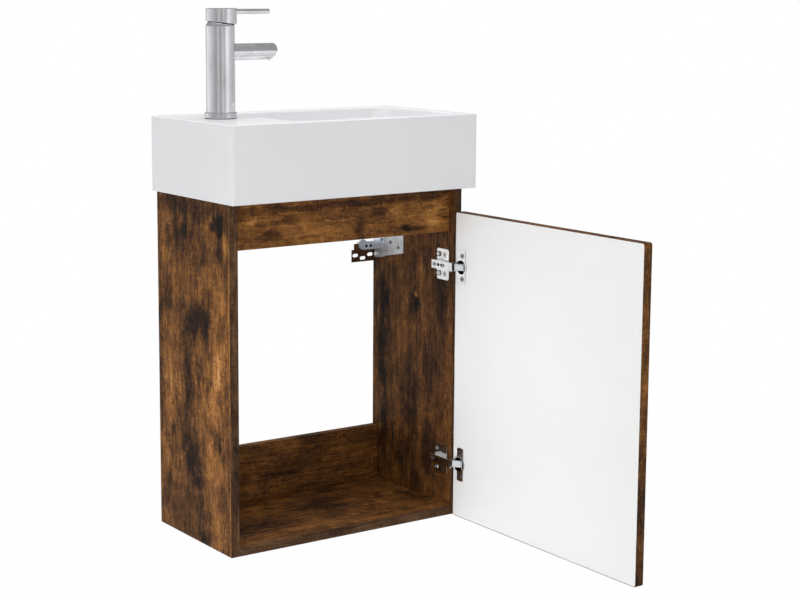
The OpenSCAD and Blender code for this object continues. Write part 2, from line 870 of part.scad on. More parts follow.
// Bracket on the hanger plate, with a tongue in front of the lip that folds over it
module hanger_hook() {
  x1 = x_in - hanger_t - hook_t;
  round_r = 9;
  tongue_low = wall_plate_above;
  leg_z = lip_top + hook_gap;
  leg_h = hanger_top - leg_z - 2;
  color(CHROME)
    difference() {
      union() {
        translate([x1, hook_y - hook_leg_l, leg_z]) cube([hook_t, hook_leg_l + hook_t, leg_h]);
        translate([x1 - hook_w + round_r, hook_y, tongue_low])
          cube([hook_w - round_r + hook_t, hook_t, leg_z - tongue_low + hook_t]);
        translate([x1 - hook_w, hook_y, tongue_low + round_r])
          cube([hook_w, hook_t, leg_z - tongue_low - round_r + hook_t]);
        translate([x1 - hook_w + round_r, hook_y, tongue_low + round_r]) rod_y(round_r, hook_t);
        translate([x1 - hook_w, hook_y, leg_z]) cube([hook_w + hook_t, -hook_y - 0.5, hook_t]);
        translate([x1 - hook_w, -lip_stand + hook_gap, wall_plate_above + hook_gap])
          cube([hook_w, lip_stand - hook_gap - 0.5, leg_z - wall_plate_above]);
      }
      for (x = [7, 16])
        translate([x1 - x, hook_y - cut, tongue_low + 6]) rod_y(2, hook_t + cut + hook_gap / 2);
      for (z = hook_rivet_z)
        translate([x1 - cut, hook_rivet_y, z]) rod_x(rivet_r + fit_gap, hook_t + 2 * cut);
    }
}

module hanger_hook_right() {
  hanger_hook();
}

module hanger_hook_left() {
  mirror([1, 0, 0]) hanger_hook();
}

// Three screws hold each hanger plate
module hanger_screws() {
  color(NICKEL)
    both_sides()
      for (spot = HANGER_SPOTS)
        translate([x_in - hanger_t, spot[0], spot[1]])
          rotate([0, -90, 0]) screw(3.2, 1.4, hanger_screw_r, panel_bore_depth);
}

// Two rivets join each hook to its hanger plate
module hook_rivets() {
  color(NICKEL)
    both_sides()
      for (z = hook_rivet_z)
        translate([x_in - hanger_t - hook_t, hook_rivet_y, z]) {
          rod_x(rivet_r, hanger_t + hook_t);
          translate([-1, 0, 0]) rod_x(rivet_r + 1.1, 1);
        }
}

// Round-cornered tub shape between two heights, wider at the top
module tub(grow) {
  r_top = bowl_corner_r + grow;
  r_low = bowl_floor_r + grow;
  z_low = floor_z + bowl_floor_r;
  inset = bowl_draw + bowl_floor_r;
  rim_x = [bowl_x0 + bowl_corner_r, bowl_x1 - bowl_corner_r];
  rim_y = [bowl_y0 + bowl_corner_r, bowl_y1 - bowl_corner_r];
  hull() {
    for (x = rim_x, y = rim_y)
      translate([x, y, ledge_z - ledge_t / 2]) cylinder(r = r_top, h = ledge_t, $fn = 32);
    for (x = [bowl_x0 + inset, bowl_x1 - inset], y = [bowl_y0 + inset, bowl_y1 - inset])
      translate([x, y, z_low]) sphere(r_low, $fn = 32);
  }
}

// Block with round upright edges
module basin_block() {
  translate([-basin_w / 2, -basin_d, basin_z])
    linear_extrude(basin_h) rounded(basin_w, basin_d, basin_edge_r);
}

module basin() {
  void_w = basin_w - 2 * basin_wall;
  void_d = basin_d - 2 * basin_wall;
  void_h = basin_h - ledge_t - foot_h;
  color(CERAMIC)
    difference() {
      union() {
        difference() {
          basin_block();
          translate([-void_w / 2, -basin_d + basin_wall, basin_z + foot_h]) cube([void_w, void_d, void_h]);
          translate([-basin_w / 2 + foot_w, -basin_d + foot_front_w, basin_z - cut])
            cube([basin_w - 2 * foot_w, basin_d - foot_front_w - foot_w, foot_h + 2 * cut]);
        }
        intersection() {
          basin_block();
          tub(bowl_shell);
        }
      }
      tub(0);
      translate([waste_x, waste_y, floor_z - dish_h]) cylinder(r = dish_r, h = dish_h + cut);
      translate([waste_x, waste_y, basin_z]) cylinder(r = waste_hole_r, h = basin_h);
      translate([tap_x, tap_y, ledge_z - ledge_t - cut]) cylinder(r = tap_hole_r, h = ledge_t + 2 * cut);
    }
}

// Flange, threaded tube and the guide of the plug
module waste_body() {
  guide_z = floor_z - plug_guide_drop;
  guide_low = guide_z - plug_guide_t;
  guide_h = plug_guide_t + 2 * cut;
  tail_z = floor_z - waste_l;
  flange_h = dish_h - seal_t / 2;
  color(CHROME)
    translate([waste_x, waste_y, 0])
      difference() {
        union() {
          translate([0, 0, floor_z - flange_h]) cylinder(r = waste_flange_r, h = flange_h);
          translate([0, 0, tail_z]) cylinder(r = waste_r - thread_depth, h = waste_l);
          translate([0, 0, tail_z]) cylinder(r = waste_r, h = thread_end_z - tail_z);
        }
        translate([0, 0, guide_z]) cylinder(r = waste_r - waste_wall, h = waste_l);
        translate([0, 0, tail_z - cut]) cylinder(r = waste_r - waste_wall, h = guide_low - tail_z + cut);
        translate([0, 0, floor_z - dish_h + seal_t]) cylinder(r1 = plug_r - 3, r2 = plug_r + 1, h = dish_h);
        translate([0, 0, guide_low - cut]) cylinder(r = plug_stem_r + fit_gap, h = guide_h);
        for (a = [45:90:315])
          rotate(a) translate([plug_stem_r + 6.5, 0, guide_low - cut]) cylinder(r = 5, h = guide_h);
      }
}

// Rubber rings above and below the bowl's floor
module waste_seals() {
  color(RUBBER)
    translate([waste_x, waste_y, 0])
      difference() {
        union() {
          translate([0, 0, floor_z - dish_h]) cylinder(r = waste_flange_r - 1, h = seal_t / 2);
          translate([0, 0, waste_under_z - 2 * seal_t]) cylinder(r = waste_nut_r - 2, h = 2 * seal_t);
        }
        translate([0, 0, waste_under_z - cut - 2 * seal_t]) cylinder(r = waste_r + fit_gap, h = bowl_depth);
      }
}

module waste_nut() {
  color(CHROME)
    translate([waste_x, waste_y, waste_nut_z])
      difference() {
        cylinder(r = waste_nut_r, h = waste_nut_h, $fn = 8);
        translate([0, 0, -cut]) cylinder(r = waste_r + fit_gap, h = waste_nut_h + 2 * cut);
      }
}

// Push plug on its stem, shown down
module waste_plug() {
  disc_t = 3.2;
  disc_z = floor_z + 1.2;
  stem_end = floor_z - plug_stem_l;
  color(CHROME)
    translate([waste_x, waste_y, 0])
      union() {
        translate([0, 0, disc_z]) cylinder(r1 = plug_r - 1, r2 = plug_r, h = disc_t / 2);
        translate([0, 0, disc_z + disc_t / 2]) cylinder(r1 = plug_r, r2 = plug_r - 2, h = disc_t / 2);
        translate([0, 0, stem_end]) cylinder(r = plug_stem_r, h = disc_z - stem_end + 1);
      }
}

// Tap frame of reference: its axis, from the top of the basin
module on_ledge() {
  translate([tap_x, tap_y, ledge_z]) children();
}

module tap_body() {
  chamber_z = tap_body_h - cartridge_h;
  color(CHROME)
    on_ledge()
      difference() {
        translate([0, 0, tap_seal_t]) cylinder(r = tap_r, h = tap_body_h - tap_seal_t, $fn = 96);
        translate([0, 0, chamber_z]) cylinder(r = cartridge_r + fit_gap, h = tap_body_h);
        rotate(inlet_turn)
          for (y = [-inlet_y, inlet_y]) {
            translate([inlet_x, y, 0]) cylinder(r = inlet_r, h = 16);
            translate([inlet_x, y, 0]) cylinder(r = 3, h = spout_z - spout_shank_r - 4);
          }
        translate([stud_x, 0, 0]) cylinder(r = stud_r + fit_gap, h = 16);
        translate([spout_shank_x - fit_gap, 0, spout_z]) rod_x(spout_shank_r + fit_gap, tap_r);
        translate([spout_shank_x - 6, 0, spout_z]) rod_x(4, 8);
        translate([spout_shank_x - 4, 0, spout_z]) cylinder(r = 3, h = chamber_z - spout_z + cut);
      }
}

module tap_base_ring() {
  edge = 1.5;
  h = ring_h - tap_seal_t;
  color(CHROME)
    on_ledge()
      translate([0, 0, tap_seal_t])
        rotate_extrude($fn = 96)
          difference() {
            union() {
              translate([tap_r + fit_gap, edge]) square([ring_r - tap_r - fit_gap, h - 2 * edge]);
              translate([tap_r + fit_gap, 0]) square([ring_r - tap_r - fit_gap - edge, h]);
              for (z = [edge, h - edge])
                translate([ring_r - edge, z]) circle(edge);
            }
            square([tap_r + fit_gap, h]);
          }
}

module tap_seal() {
  color(RUBBER)
    on_ledge()
      difference() {
        cylinder(r = ring_r - 1, h = tap_seal_t);
        translate([0, 0, -cut]) cylinder(r = tap_hole_r, h = tap_seal_t + 2 * cut);
      }
}

// Faces the aerator's axis down and outwards
module on_cut() {
  translate([cut_x, 0, spout_z - cut_drop]) rotate([0, 180 - spout_cut_angle, 0]) children();
}

module tap_spout() {
  tip_r = 3;
  far = 60;
  channel_r = 8;
  color(CHROME)
    on_ledge()
      difference() {
        union() {
          difference() {
            translate([0, 0, spout_z])
              rotate([0, 90, 0])
                rotate_extrude($fn = 96) {
                  square([spout_r, spout_l - tip_r]);
                  square([spout_r - tip_r, spout_l]);
                  translate([spout_r - tip_r, spout_l - tip_r])
                    intersection() {
                      circle(tip_r);
                      square(tip_r);
                    }
                }
            cylinder(r = tap_r + fit_gap, h = tap_body_h, $fn = 96);
            on_cut() translate([-far / 2, -far / 2, 0]) cube(far);
          }
          translate([spout_shank_x, 0, spout_z]) rod_x(spout_shank_r, tap_r - spout_shank_x + 2);
        }
        translate([spout_shank_x - cut, 0, spout_z]) rod_x(channel_r, cut_x - spout_shank_x - channel_r);
        on_cut() translate([0, 0, -aerator_l - fit_gap]) cylinder(r = aerator_r + fit_gap, h = 2 * aerator_l);
      }
}

module tap_aerator() {
  hole_r = 0.8;
  color(CHROME)
    on_ledge()
      on_cut()
        difference() {
          translate([0, 0, -aerator_l]) cylinder(r = aerator_r, h = aerator_l + aerator_out);
          translate([0, 0, aerator_out - 1.5]) cylinder(r = aerator_r - 1.5, h = 2 * cut);
          for (ring = [1, 2], i = [0:6 * ring - 1])
            rotate(i * 60 / ring)
              translate([ring * 2.9, 0, -aerator_l - cut]) cylinder(r = hole_r, h = 3 * aerator_l, $fn = 16);
        }
}

// Domed collar over the cartridge
module tap_collar() {
  steps = 6;
  base_h = 1;
  dome = [for (i = [0:steps]) let (a = 90 * i / steps)
    [collar_top_r + (tap_r - collar_top_r) * cos(a), base_h + (collar_h - base_h) * sin(a)]];
  color(CHROME)
    on_ledge()
      translate([0, 0, tap_body_h])
        difference() {
          rotate_extrude($fn = 96) polygon(concat([[0, 0], [tap_r, 0]], dome, [[0, collar_h]]));
          translate([0, 0, -cut]) cylinder(r = rotor_r + 1, h = collar_h + 2 * cut);
        }
}

module tap_cartridge() {
  color(POLYMER)
    on_ledge()
      difference() {
        translate([0, 0, tap_body_h - cartridge_h]) cylinder(r = cartridge_r, h = cartridge_h - fit_gap);
        translate([0, 0, pivot_z - rotor_drop]) cylinder(r = rotor_r + fit_gap, h = cartridge_h);
      }
}

// Turning insert of the cartridge, slotted for the stem
module cartridge_rotor() {
  slot_back = 6.2;
  slot_front = 7.4;
  side_gap = 0.2;
  under_gap = 1.5;
  color(POLYMER)
    on_ledge()
      difference() {
        translate([0, 0, pivot_z - rotor_drop + 2 * fit_gap]) cylinder(r = rotor_r, h = rotor_h);
        translate([-slot_back, -stem_half - side_gap, pivot_z - stem_low - under_gap])
          cube([slot_back + slot_front, 2 * (stem_half + side_gap), rotor_h]);
        translate([0, -rotor_r - cut, pivot_z]) rod_y(pivot_pin_r + fit_gap, 2 * rotor_r + 2 * cut);
      }
}

module lever_pivot_pin() {
  color(NICKEL)
    on_ledge()
      translate([0, -rotor_r + 0.5, pivot_z]) rod_y(pivot_pin_r, 2 * rotor_r - 1);
}

// Square stem that tilts on the pin and carries the cap
module lever_stem() {
  color(BRASS)
    on_ledge()
      difference() {
        translate([-stem_half, -stem_half, pivot_z - stem_low])
          cube([2 * stem_half, 2 * stem_half, stem_low + lever_z - lever_r - pivot_z]);
        translate([0, -stem_half - cut, pivot_z]) rod_y(pivot_pin_r + fit_gap, 2 * stem_half + 2 * cut);
      }
}

// Cap with a sloping lower edge, a thin skirt and a solid roof
module handle_cap() {
  edge = 1;
  low = collar_z - 12;
  boss_r = 7;
  boss_z = collar_z + 5.6;
  edge_mid_z = collar_z - 1.6;
  far = 80;
  roof_z = cap_z - cap_roof;
  socket_half = stem_half + fit_gap;
  color(CHROME)
    on_ledge()
      difference() {
        union() {
          difference() {
            translate([cap_offset, 0, 0]) {
              translate([0, 0, low]) cylinder(r = cap_r, h = cap_z - edge - low, $fn = 96);
              translate([0, 0, cap_z - edge]) cylinder(r1 = cap_r, r2 = cap_r - edge, h = edge, $fn = 96);
            }
            translate([cap_offset, 0, low - cut])
              cylinder(r = cap_r - cap_wall, h = roof_z - low + cut, $fn = 96);
            translate([0, 0, edge_mid_z])
              rotate([0, cap_slope, 0]) translate([-far / 2, -far / 2, -far]) cube(far);
          }
          translate([0, 0, boss_z]) cylinder(r = boss_r, h = roof_z - boss_z + cut);
        }
        translate([-socket_half, -socket_half, boss_z - cut])
          cube([2 * socket_half, 2 * socket_half, lever_z - lever_r - boss_z + cut + fit_gap]);
        translate([cap_offset + cap_r - 12, 0, lever_z]) rod_x(3 + fit_gap, 20);
      }
}

// Thin round lever, screwed into the side of the cap
module handle_lever() {
  edge = 0.8;
  root_x = cap_offset + cap_r;
  color(CHROME)
    on_ledge()
      difference() {
        translate([0, 0, lever_z]) {
          translate([root_x - 11.5, 0, 0]) rod_x(3, 14);
          translate([root_x - 1, 0, 0]) rod_x(lever_r, lever_l - edge - root_x + 1);
          translate([lever_l - edge, 0, 0])
            rotate([0, 90, 0]) cylinder(r1 = lever_r, r2 = lever_r - edge, h = edge);
        }
        translate([cap_offset, 0, lever_z - lever_r - cut])
          difference() {
            cylinder(r = cap_r + fit_gap, h = 2 * (lever_r + cut), $fn = 96);
            translate([0, 0, lever_r + cut]) rod_x(3 + fit_gap / 2, cap_r * 2);
          }
      }
}

// Crescent that leaves room for the two water inlets
module crescent(r, t) {
  reach = 14.5;
  difference() {
    cylinder(r = r, h = t);
    translate([-3, -reach, -cut]) cube([2 * r, 2 * reach, t + 2 * cut]);
    translate([stud_x, 0, -cut]) cylinder(r = stud_r + fit_gap, h = t + 2 * cut);
  }
}

module tap_stud() {
  below = ledge_t + gasket_t + washer_t + tap_nut_h + stud_end;
  color(NICKEL)
    on_ledge()
      translate([stud_x, 0, -below]) cylinder(r = stud_r, h = below + 15);
}

module tap_gasket() {
  color(RUBBER)
    on_ledge()
      translate([0, 0, -ledge_t - gasket_t]) crescent(24, gasket_t);
}

module tap_washer() {
  color(NICKEL)
    on_ledge()
      translate([0, 0, -ledge_t - gasket_t - washer_t]) crescent(23.5, washer_t);
}

module tap_nut() {
  color(BRASS)
    on_ledge()
      translate([stud_x, 0, -ledge_t - gasket_t - washer_t - tap_nut_h])
        difference() {
          cylinder(r = 7, h = tap_nut_h, $fn = 6);
          translate([0, 0, -cut]) cylinder(r = stud_r + fit_gap, h = tap_nut_h + 2 * cut);
        }
}

side_panel_left();
side_panel_right();
bottom_panel();
front_rail();
back_rail();
edge_band_left();
edge_band_right();
edge_band_bottom();
cam_discs();
cam_bolts();
dowels();
door_panel();
door_edge_band();
door_inner_sheet();
hinge_plate_upper();
hinge_plate_lower();
hinge_arm_upper();
hinge_arm_lower();
hinge_link_upper();
hinge_link_lower();
hinge_cup_upper();
hinge_cup_lower();
hinge_pins();
plate_screws();
arm_screws();
cup_screws();
wall_plate_left();
wall_plate_right();
hanger_plate_left();
hanger_plate_right();
hanger_hook_left();
hanger_hook_right();
hanger_screws();
hook_rivets();
basin();
waste_body();
waste_seals();
waste_nut();
waste_plug();
tap_body();
tap_base_ring();
tap_seal();
tap_spout();
tap_aerator();
tap_collar();
tap_cartridge();
cartridge_rotor();
lever_pivot_pin();
lever_stem();
handle_cap();
handle_lever();
tap_stud();
tap_gasket();
tap_washer();
tap_nut();
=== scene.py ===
# %% [markdown]
# # A wall-hung vanity unit
# A small ceramic basin with a lever tap sits on a cabinet of smoked-oak boards, whose door stands open.
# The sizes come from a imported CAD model, which is loaded first and never changed. Each step below builds
# the visible skin of one piece round it, as a surface worked out with numpy, and gives it a finish.

# %% Load the frame
import json
import math
import bmesh
import bpy
import numpy as np
from mathutils import Matrix, Vector

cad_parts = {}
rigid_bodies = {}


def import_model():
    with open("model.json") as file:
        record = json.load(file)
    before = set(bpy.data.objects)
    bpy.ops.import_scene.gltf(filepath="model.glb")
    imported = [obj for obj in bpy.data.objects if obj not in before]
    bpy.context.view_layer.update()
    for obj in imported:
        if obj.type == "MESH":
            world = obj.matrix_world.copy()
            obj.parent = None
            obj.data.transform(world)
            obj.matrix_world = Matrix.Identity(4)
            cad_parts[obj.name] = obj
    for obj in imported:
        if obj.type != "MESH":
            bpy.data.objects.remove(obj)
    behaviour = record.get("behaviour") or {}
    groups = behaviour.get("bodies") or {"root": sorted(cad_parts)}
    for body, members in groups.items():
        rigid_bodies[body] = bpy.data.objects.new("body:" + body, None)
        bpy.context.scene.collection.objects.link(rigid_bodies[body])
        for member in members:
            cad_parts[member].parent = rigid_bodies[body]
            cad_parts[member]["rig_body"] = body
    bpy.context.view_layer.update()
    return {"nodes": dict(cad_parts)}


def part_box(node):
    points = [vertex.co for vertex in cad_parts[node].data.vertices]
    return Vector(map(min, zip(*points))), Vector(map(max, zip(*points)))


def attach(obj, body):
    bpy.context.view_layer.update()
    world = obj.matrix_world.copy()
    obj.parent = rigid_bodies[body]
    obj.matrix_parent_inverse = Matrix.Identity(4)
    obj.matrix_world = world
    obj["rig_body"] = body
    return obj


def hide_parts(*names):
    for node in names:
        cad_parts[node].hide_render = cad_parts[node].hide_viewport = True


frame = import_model()
MM = 0.001


def box(node):
    """Lowest and highest corner of a CAD node, as two numpy arrays in metres."""
    low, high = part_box(node)
    return np.array(low), np.array(high)


def in_mm(*lengths):
    """Lengths in metres as rounded millimetres, for printing."""
    return [round(float(length) / MM, 1) for length in lengths]


# %% [markdown]
# ## Putting surfaces into Blender
# A surface is a grid of points: rows go one way, columns the other, and each quad joins four
# neighbours. One helper makes the quads, another turns points and quads into a mesh object whose
# doubles are merged, so seams and poles close. Primitives with modifiers would do for plain boxes, but
# grids give exact sizes. Long flat faces get an extra row of points just beside each rounding. That keeps
# the shading of the flat part clean, which matters most on chrome.

# %% Grids, meshes and pieces
GUARD = 0.25 * MM


def grid_quads(rows, cols, wrap=True):
    """Quads of a rows x cols grid of points counted row by row; with wrap the last column joins the first."""
    i, j = np.meshgrid(np.arange(rows - 1), np.arange(cols if wrap else cols - 1), indexing="ij")
    right = (j + 1) % cols
    corners = [i * cols + j, i * cols + right, (i + 1) * cols + right, (i + 1) * cols + j]
    return np.stack(corners, -1).reshape(-1, 4)


def cleaned(name, points, faces, more=None):
    """A mesh of these points and faces. Points closer than a micrometre are merged, `more` may change the
    bmesh further, and normals are turned outwards."""
    mesh = bpy.data.meshes.new(name)
    mesh.from_pydata(np.asarray(points).reshape(-1, 3).tolist(), [], np.asarray(faces).tolist())
    bm = bmesh.new()
    bm.from_mesh(mesh)
    bmesh.ops.remove_doubles(bm, verts=bm.verts, dist=1e-6)
    bmesh.ops.dissolve_degenerate(bm, edges=bm.edges, dist=1e-7)
    if more:
        more(bm)
    bmesh.ops.recalc_face_normals(bm, faces=bm.faces)
    bm.to_mesh(mesh)
    bm.free()
    return mesh


def piece(name, points, faces, body, material, **more):
    """A mesh object of these points and faces that rides on a CAD body and stands for the named CAD nodes."""
    return place(bpy.data.objects.new(name, cleaned(name, points, faces)), body, material, **more)


def place(obj, body, material, replaces=(), slot=None, sharp=40):
    bpy.context.scene.collection.objects.link(obj)
    obj.data.shade_smooth()
    obj.data.set_sharp_from_angle(angle=math.radians(sharp))
    obj.data.materials.clear()
    obj.data.materials.append(material)
    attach(obj, body)
    if replaces:
        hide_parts(*replaces)
    return obj


def soften(obj, width, segments, degrees):
    """A fine bevel on the edges that turn by more than so many degrees."""
    bevel = obj.modifiers.new("edge", "BEVEL")
    bevel.width, bevel.segments, bevel.limit_method = width, segments, "ANGLE"
    bevel.angle_limit = math.radians(degrees)
    return bevel


FEWEST_STEPS, MOST_STEPS = 4, 12


def arc_steps(radius):
    """Steps in a quarter-circle rounding: the fewest, and one more for each millimetre of radius."""
    return int(np.clip(FEWEST_STEPS + radius / MM, FEWEST_STEPS, MOST_STEPS))


print("points beside a rounding stand off by", GUARD / MM, "mm")


# %% [markdown]
# ## Profiles with rounded corners
# Turned parts, such as the tap, start as a half profile: a few corner points, each with the radius
# of its rounding. A rounding is an arc that touches both sides of the corner. A Bevel modifier could
# round a plain turned shape too, but it gives all corners one width, and here each has its own.

# %% Rounded profile and lathe
def rounded_profile(corners, closed=False):
    """corners: (u, v, radius) in metres. An arc of that radius touches the two sides of each corner: its
    centre lies on the bisector, radius / sin(half angle) from the corner."""
    pts = np.array([c[:2] for c in corners], float)
    out = []
    count = len(pts)
    for k in range(count):
        radius = corners[k][2]
        if radius <= 0 or (not closed and k in (0, count - 1)):
            out.append(pts[k][None])
            continue
        a, b = pts[k - 1] - pts[k], pts[(k + 1) % count] - pts[k]
        la, lb = np.linalg.norm(a), np.linalg.norm(b)
        a, b = a / la, b / lb
        half = math.acos(np.clip(a @ b, -1, 1)) / 2
        reach = radius / math.tan(half)
        centre = pts[k] + (a + b) / np.linalg.norm(a + b) * radius / math.sin(half)
        start, end = pts[k] + a * reach - centre, pts[k] + b * reach - centre
        t = np.linspace(0, 1, arc_steps(radius) + 1)[:, None]
        turn = math.pi - 2 * half
        parts = [centre + (np.sin((1 - t) * turn) * start + np.sin(t * turn) * end) / math.sin(turn)]
        if la > reach + 2 * GUARD:
            parts.insert(0, (pts[k] + a * (reach + GUARD))[None])
        if lb > reach + 2 * GUARD:
            parts.append((pts[k] + b * (reach + GUARD))[None])
        out.append(np.concatenate(parts))
    return np.concatenate(out)


def turned(profile, segments=96):
    """A profile (radius, height) turned round Z: x = r cos a, y = r sin a, z = h. Rows follow the profile."""
    a = np.linspace(0, 2 * np.pi, segments, endpoint=False)
    r, h = profile[:, :1], profile[:, 1:]
    return np.stack([r * np.cos(a), r * np.sin(a), np.broadcast_to(h, (len(profile), segments))], -1)


def lathe(name, corners, centre, body, material, turn=None, segments=96, **more):
    """A turned piece: its rounded profile is spun round Z, turned by the 3x3 matrix `turn`, and moved to
    centre."""
    grid = turned(rounded_profile(corners), segments)
    if turn is not None:
        grid = grid @ np.asarray(turn).T
    return piece(name, grid + np.asarray(centre), grid_quads(len(grid), segments), body, material, **more)


print("a 10 mm rounding takes", arc_steps(10 * MM), "steps")

# %% [markdown]
# ## Boards
# A board is a box whose edges are broken with a tiny radius. A point q on the box's surface is pulled
# to q' = c + r (q - c) / |q - c|, where c is q clamped to the box shrunk by the radius r. On a flat
# face that changes nothing, and along edges and corners it gives a true rounding. A bevelled cube
# would do as well, but the shading of its flat faces leans towards the bevel.

# %% Rounded slab
def slab(low, high, radius, steps=3):
    """Points and quads of a box with rounded edges, from the pull described above."""
    low, high = np.asarray(low, float), np.asarray(high, float)
    near = radius * (1 - np.tan(np.linspace(np.pi / 4, 0, steps + 1)))
    axes = [np.concatenate([lo + near, [lo + radius + GUARD, hi - radius - GUARD], (hi - near)[::-1]])
            for lo, hi in zip(low, high)]
    points, quads, offset = [], [], 0
    for axis in range(3):
        u, v = [k for k in range(3) if k != axis]
        for value in (low[axis], high[axis]):
            gu, gv = np.meshgrid(axes[u], axes[v], indexing="ij")
            face = np.zeros(gu.shape + (3,))
            face[..., u], face[..., v], face[..., axis] = gu, gv, value
            points.append(face.reshape(-1, 3))
            quads.append(grid_quads(len(axes[u]), len(axes[v]), wrap=False) + offset)
            offset += gu.size
    q = np.concatenate(points)
    c = np.clip(q, low + radius, high - radius)
    d = q - c
    return c + radius * d / np.linalg.norm(d, axis=1, keepdims=True), np.concatenate(quads)


def outline(half_u, half_v, radius, corner=6, side=1):
    """A rounded rectangle round (0, 0), anticlockwise: a quarter arc at each corner, and `side` steps from the
    end of one arc to the start of the next."""
    arcs = []
    for k, (su, sv) in enumerate([(1, 1), (-1, 1), (-1, -1), (1, -1)]):
        a = np.linspace(0, np.pi / 2, corner + 1) + k * np.pi / 2
        middle = np.array([su * (half_u - radius), sv * (half_v - radius)])
        arcs.append(middle + radius * np.column_stack([np.cos(a), np.sin(a)]))
    s = np.linspace(0, 1, side + 1)[1:-1, None]
    return np.concatenate([part for arc, following in zip(arcs, arcs[1:] + arcs[:1])
                           for part in (arc, arc[-1] * (1 - s) + following[0] * s)])


print("a slab has", len(slab((0, 0, 0), (1, 1, 1), MM)[1]), "quads")

# %% [markdown]
# ## Finishes: a small language for shader nodes
# Every finish is procedural. The helper below makes nodes and links in one line each, so that a
# recipe reads from pattern to colour. Patterns read Object coordinates, which are metres here. The sky
# at the end is made with the same methods.

# %% Node helper
def linear(rgb):
    """An sRGB colour of 0 to 255 as linear RGBA."""
    c = np.array(rgb, float) / 255
    c = np.where(c <= 0.04045, c / 12.92, ((c + 0.055) / 1.055) ** 2.4)
    return (*c.tolist(), 1.0)


class Nodes:
    """A node tree under construction, with one method for each kind of node that the recipes use."""

    def __init__(self, tree):
        self.tree = tree

    def feed(self, socket, value):
        """Sets a socket to a constant, or links a pattern to it."""
        if isinstance(value, bpy.types.NodeSocket):
            self.tree.links.new(value, socket)
        else:
            socket.default_value = value

    def node(self, kind, inputs=(), **settings):
        """A node with some settings; inputs maps a socket's name or number to a constant or a link."""
        made = self.tree.nodes.new(kind)
        for key, value in settings.items():
            setattr(made, key, value)
        for key, value in dict(inputs).items():
            self.feed(made.inputs[key], value)
        return made

    def stretch(self, vector, scale, shift=(0, 0, 0)):
        """A vector scaled and moved."""
        return self.node("ShaderNodeMapping", {"Vector": vector, "Scale": scale, "Location": shift}).outputs[0]

    def noise(self, vector, scale, detail=4, rough=0.55, warp=0.0):
        """Fractal noise of 0 to 1 around 0.5."""
        made = self.node("ShaderNodeTexNoise", {"Vector": vector, "Scale": scale, "Detail": detail,
                                                "Roughness": rough, "Distortion": warp})
        return made.outputs["Fac"]

    def math(self, operation, a, b=0.0, clamp=False):
        """Arithmetic on two numbers."""
        return self.node("ShaderNodeMath", {0: a, 1: b}, operation=operation, use_clamp=clamp).outputs[0]

    def add(self, total, layer, weight, middle=0.0):
        """total + weight * (layer - middle)."""
        if middle:
            layer = self.math("SUBTRACT", layer, middle)
        return self.math("ADD", total, self.math("MULTIPLY", layer, weight))

    def ease(self, value, low, high, out=(0.0, 1.0)):
        """A soft step: below low it is out[0], above high out[1]."""
        return self.node("ShaderNodeMapRange", {"Value": value, "From Min": low, "From Max": high,
                                                "To Min": out[0], "To Max": out[1]},
                         interpolation_type="SMOOTHSTEP").outputs["Result"]

    def ramp(self, value, stops, read=linear):
        """A colour ramp through (position, colour) stops; `read` makes linear RGBA of a stop's colour."""
        made = self.node("ShaderNodeValToRGB", {0: value})
        elements = made.color_ramp.elements
        while len(elements) < len(stops):
            elements.new(0.5)
        for element, (position, colour) in zip(elements, stops):
            element.position = position
            element.color = read(colour)
        return made.outputs["Color"]

    def blend(self, share, a, b):
        """Mixes two colours."""
        return self.node("ShaderNodeMix", data_type="RGBA", inputs={0: share, 6: a, 7: b}).outputs[2]

    def bump(self, height, strength, distance):
        """A bump whose full height is `distance` metres."""
        sizes = {"Height": height, "Strength": strength, "Distance": distance}
        return self.node("ShaderNodeBump", sizes).outputs[0]


# %% Material helper
class Finish(Nodes):
    """A material under construction: constants for the shader's sockets come first, patterns are set later."""

    def __init__(self, name, **shader):
        self.material = bpy.data.materials.new(name)
        self.material.use_nodes = True
        super().__init__(self.material.node_tree)
        self.shader = self.tree.nodes["Principled BSDF"]
        for key, value in shader.items():
            self.set(key.replace("_", " "), value)
        self.spot = self.tree.nodes.new("ShaderNodeTexCoord").outputs["Object"]

    def set(self, socket, value):
        """Sets a socket of the shader."""
        self.feed(self.shader.inputs[socket], value)

    def grain_space(self, along):
        """Object coordinates in a new order: the grain's direction comes last."""
        parts = self.node("ShaderNodeSeparateXYZ", {0: self.spot}).outputs
        order = [a for a in "XYZ" if a != along] + [along]
        return self.node("ShaderNodeCombineXYZ", {k: parts[a] for k, a in enumerate(order)}).outputs[0]


print("mid grey is", round(linear((128, 128, 128))[0], 4), "in linear light")

# %% [markdown]
# ## Smoked oak
# The boards carry a printed decor of smoked, rough-sawn oak: tan wood with thin brown fibres, large
# burnt clouds, knots, short cracks and pale saw marks. Each of these is one layer of noise, stretched
# along the grain by its own amount, and all layers are added to one tone that a ramp turns into colour.
# The large clouds and the knots have places of their own on each board, because they are what the eye
# compares. Each is a soft ellipse whose edge is frayed by noise, so that no outline shows. The same
# ellipses carry painted light too: a painted shadow of the basin along the top of the left side and of the
# front rail, painted shade along the left side's back edge, and a painted highlight along its front edge.
# Painting an image would place every fibre, but noise stays sharp at any distance and differs on each board.

# %% Smoked oak recipe
OAK_STOPS = [(0.0, (22, 15, 11)), (0.14, (36, 24, 16)), (0.30, (60, 38, 22)), (0.45, (88, 56, 28)),
             (0.60, (122, 79, 38)), (0.76, (156, 105, 53)), (0.90, (186, 132, 73)), (1.0, (208, 157, 96))]
MIDDLE_TONE = 0.60


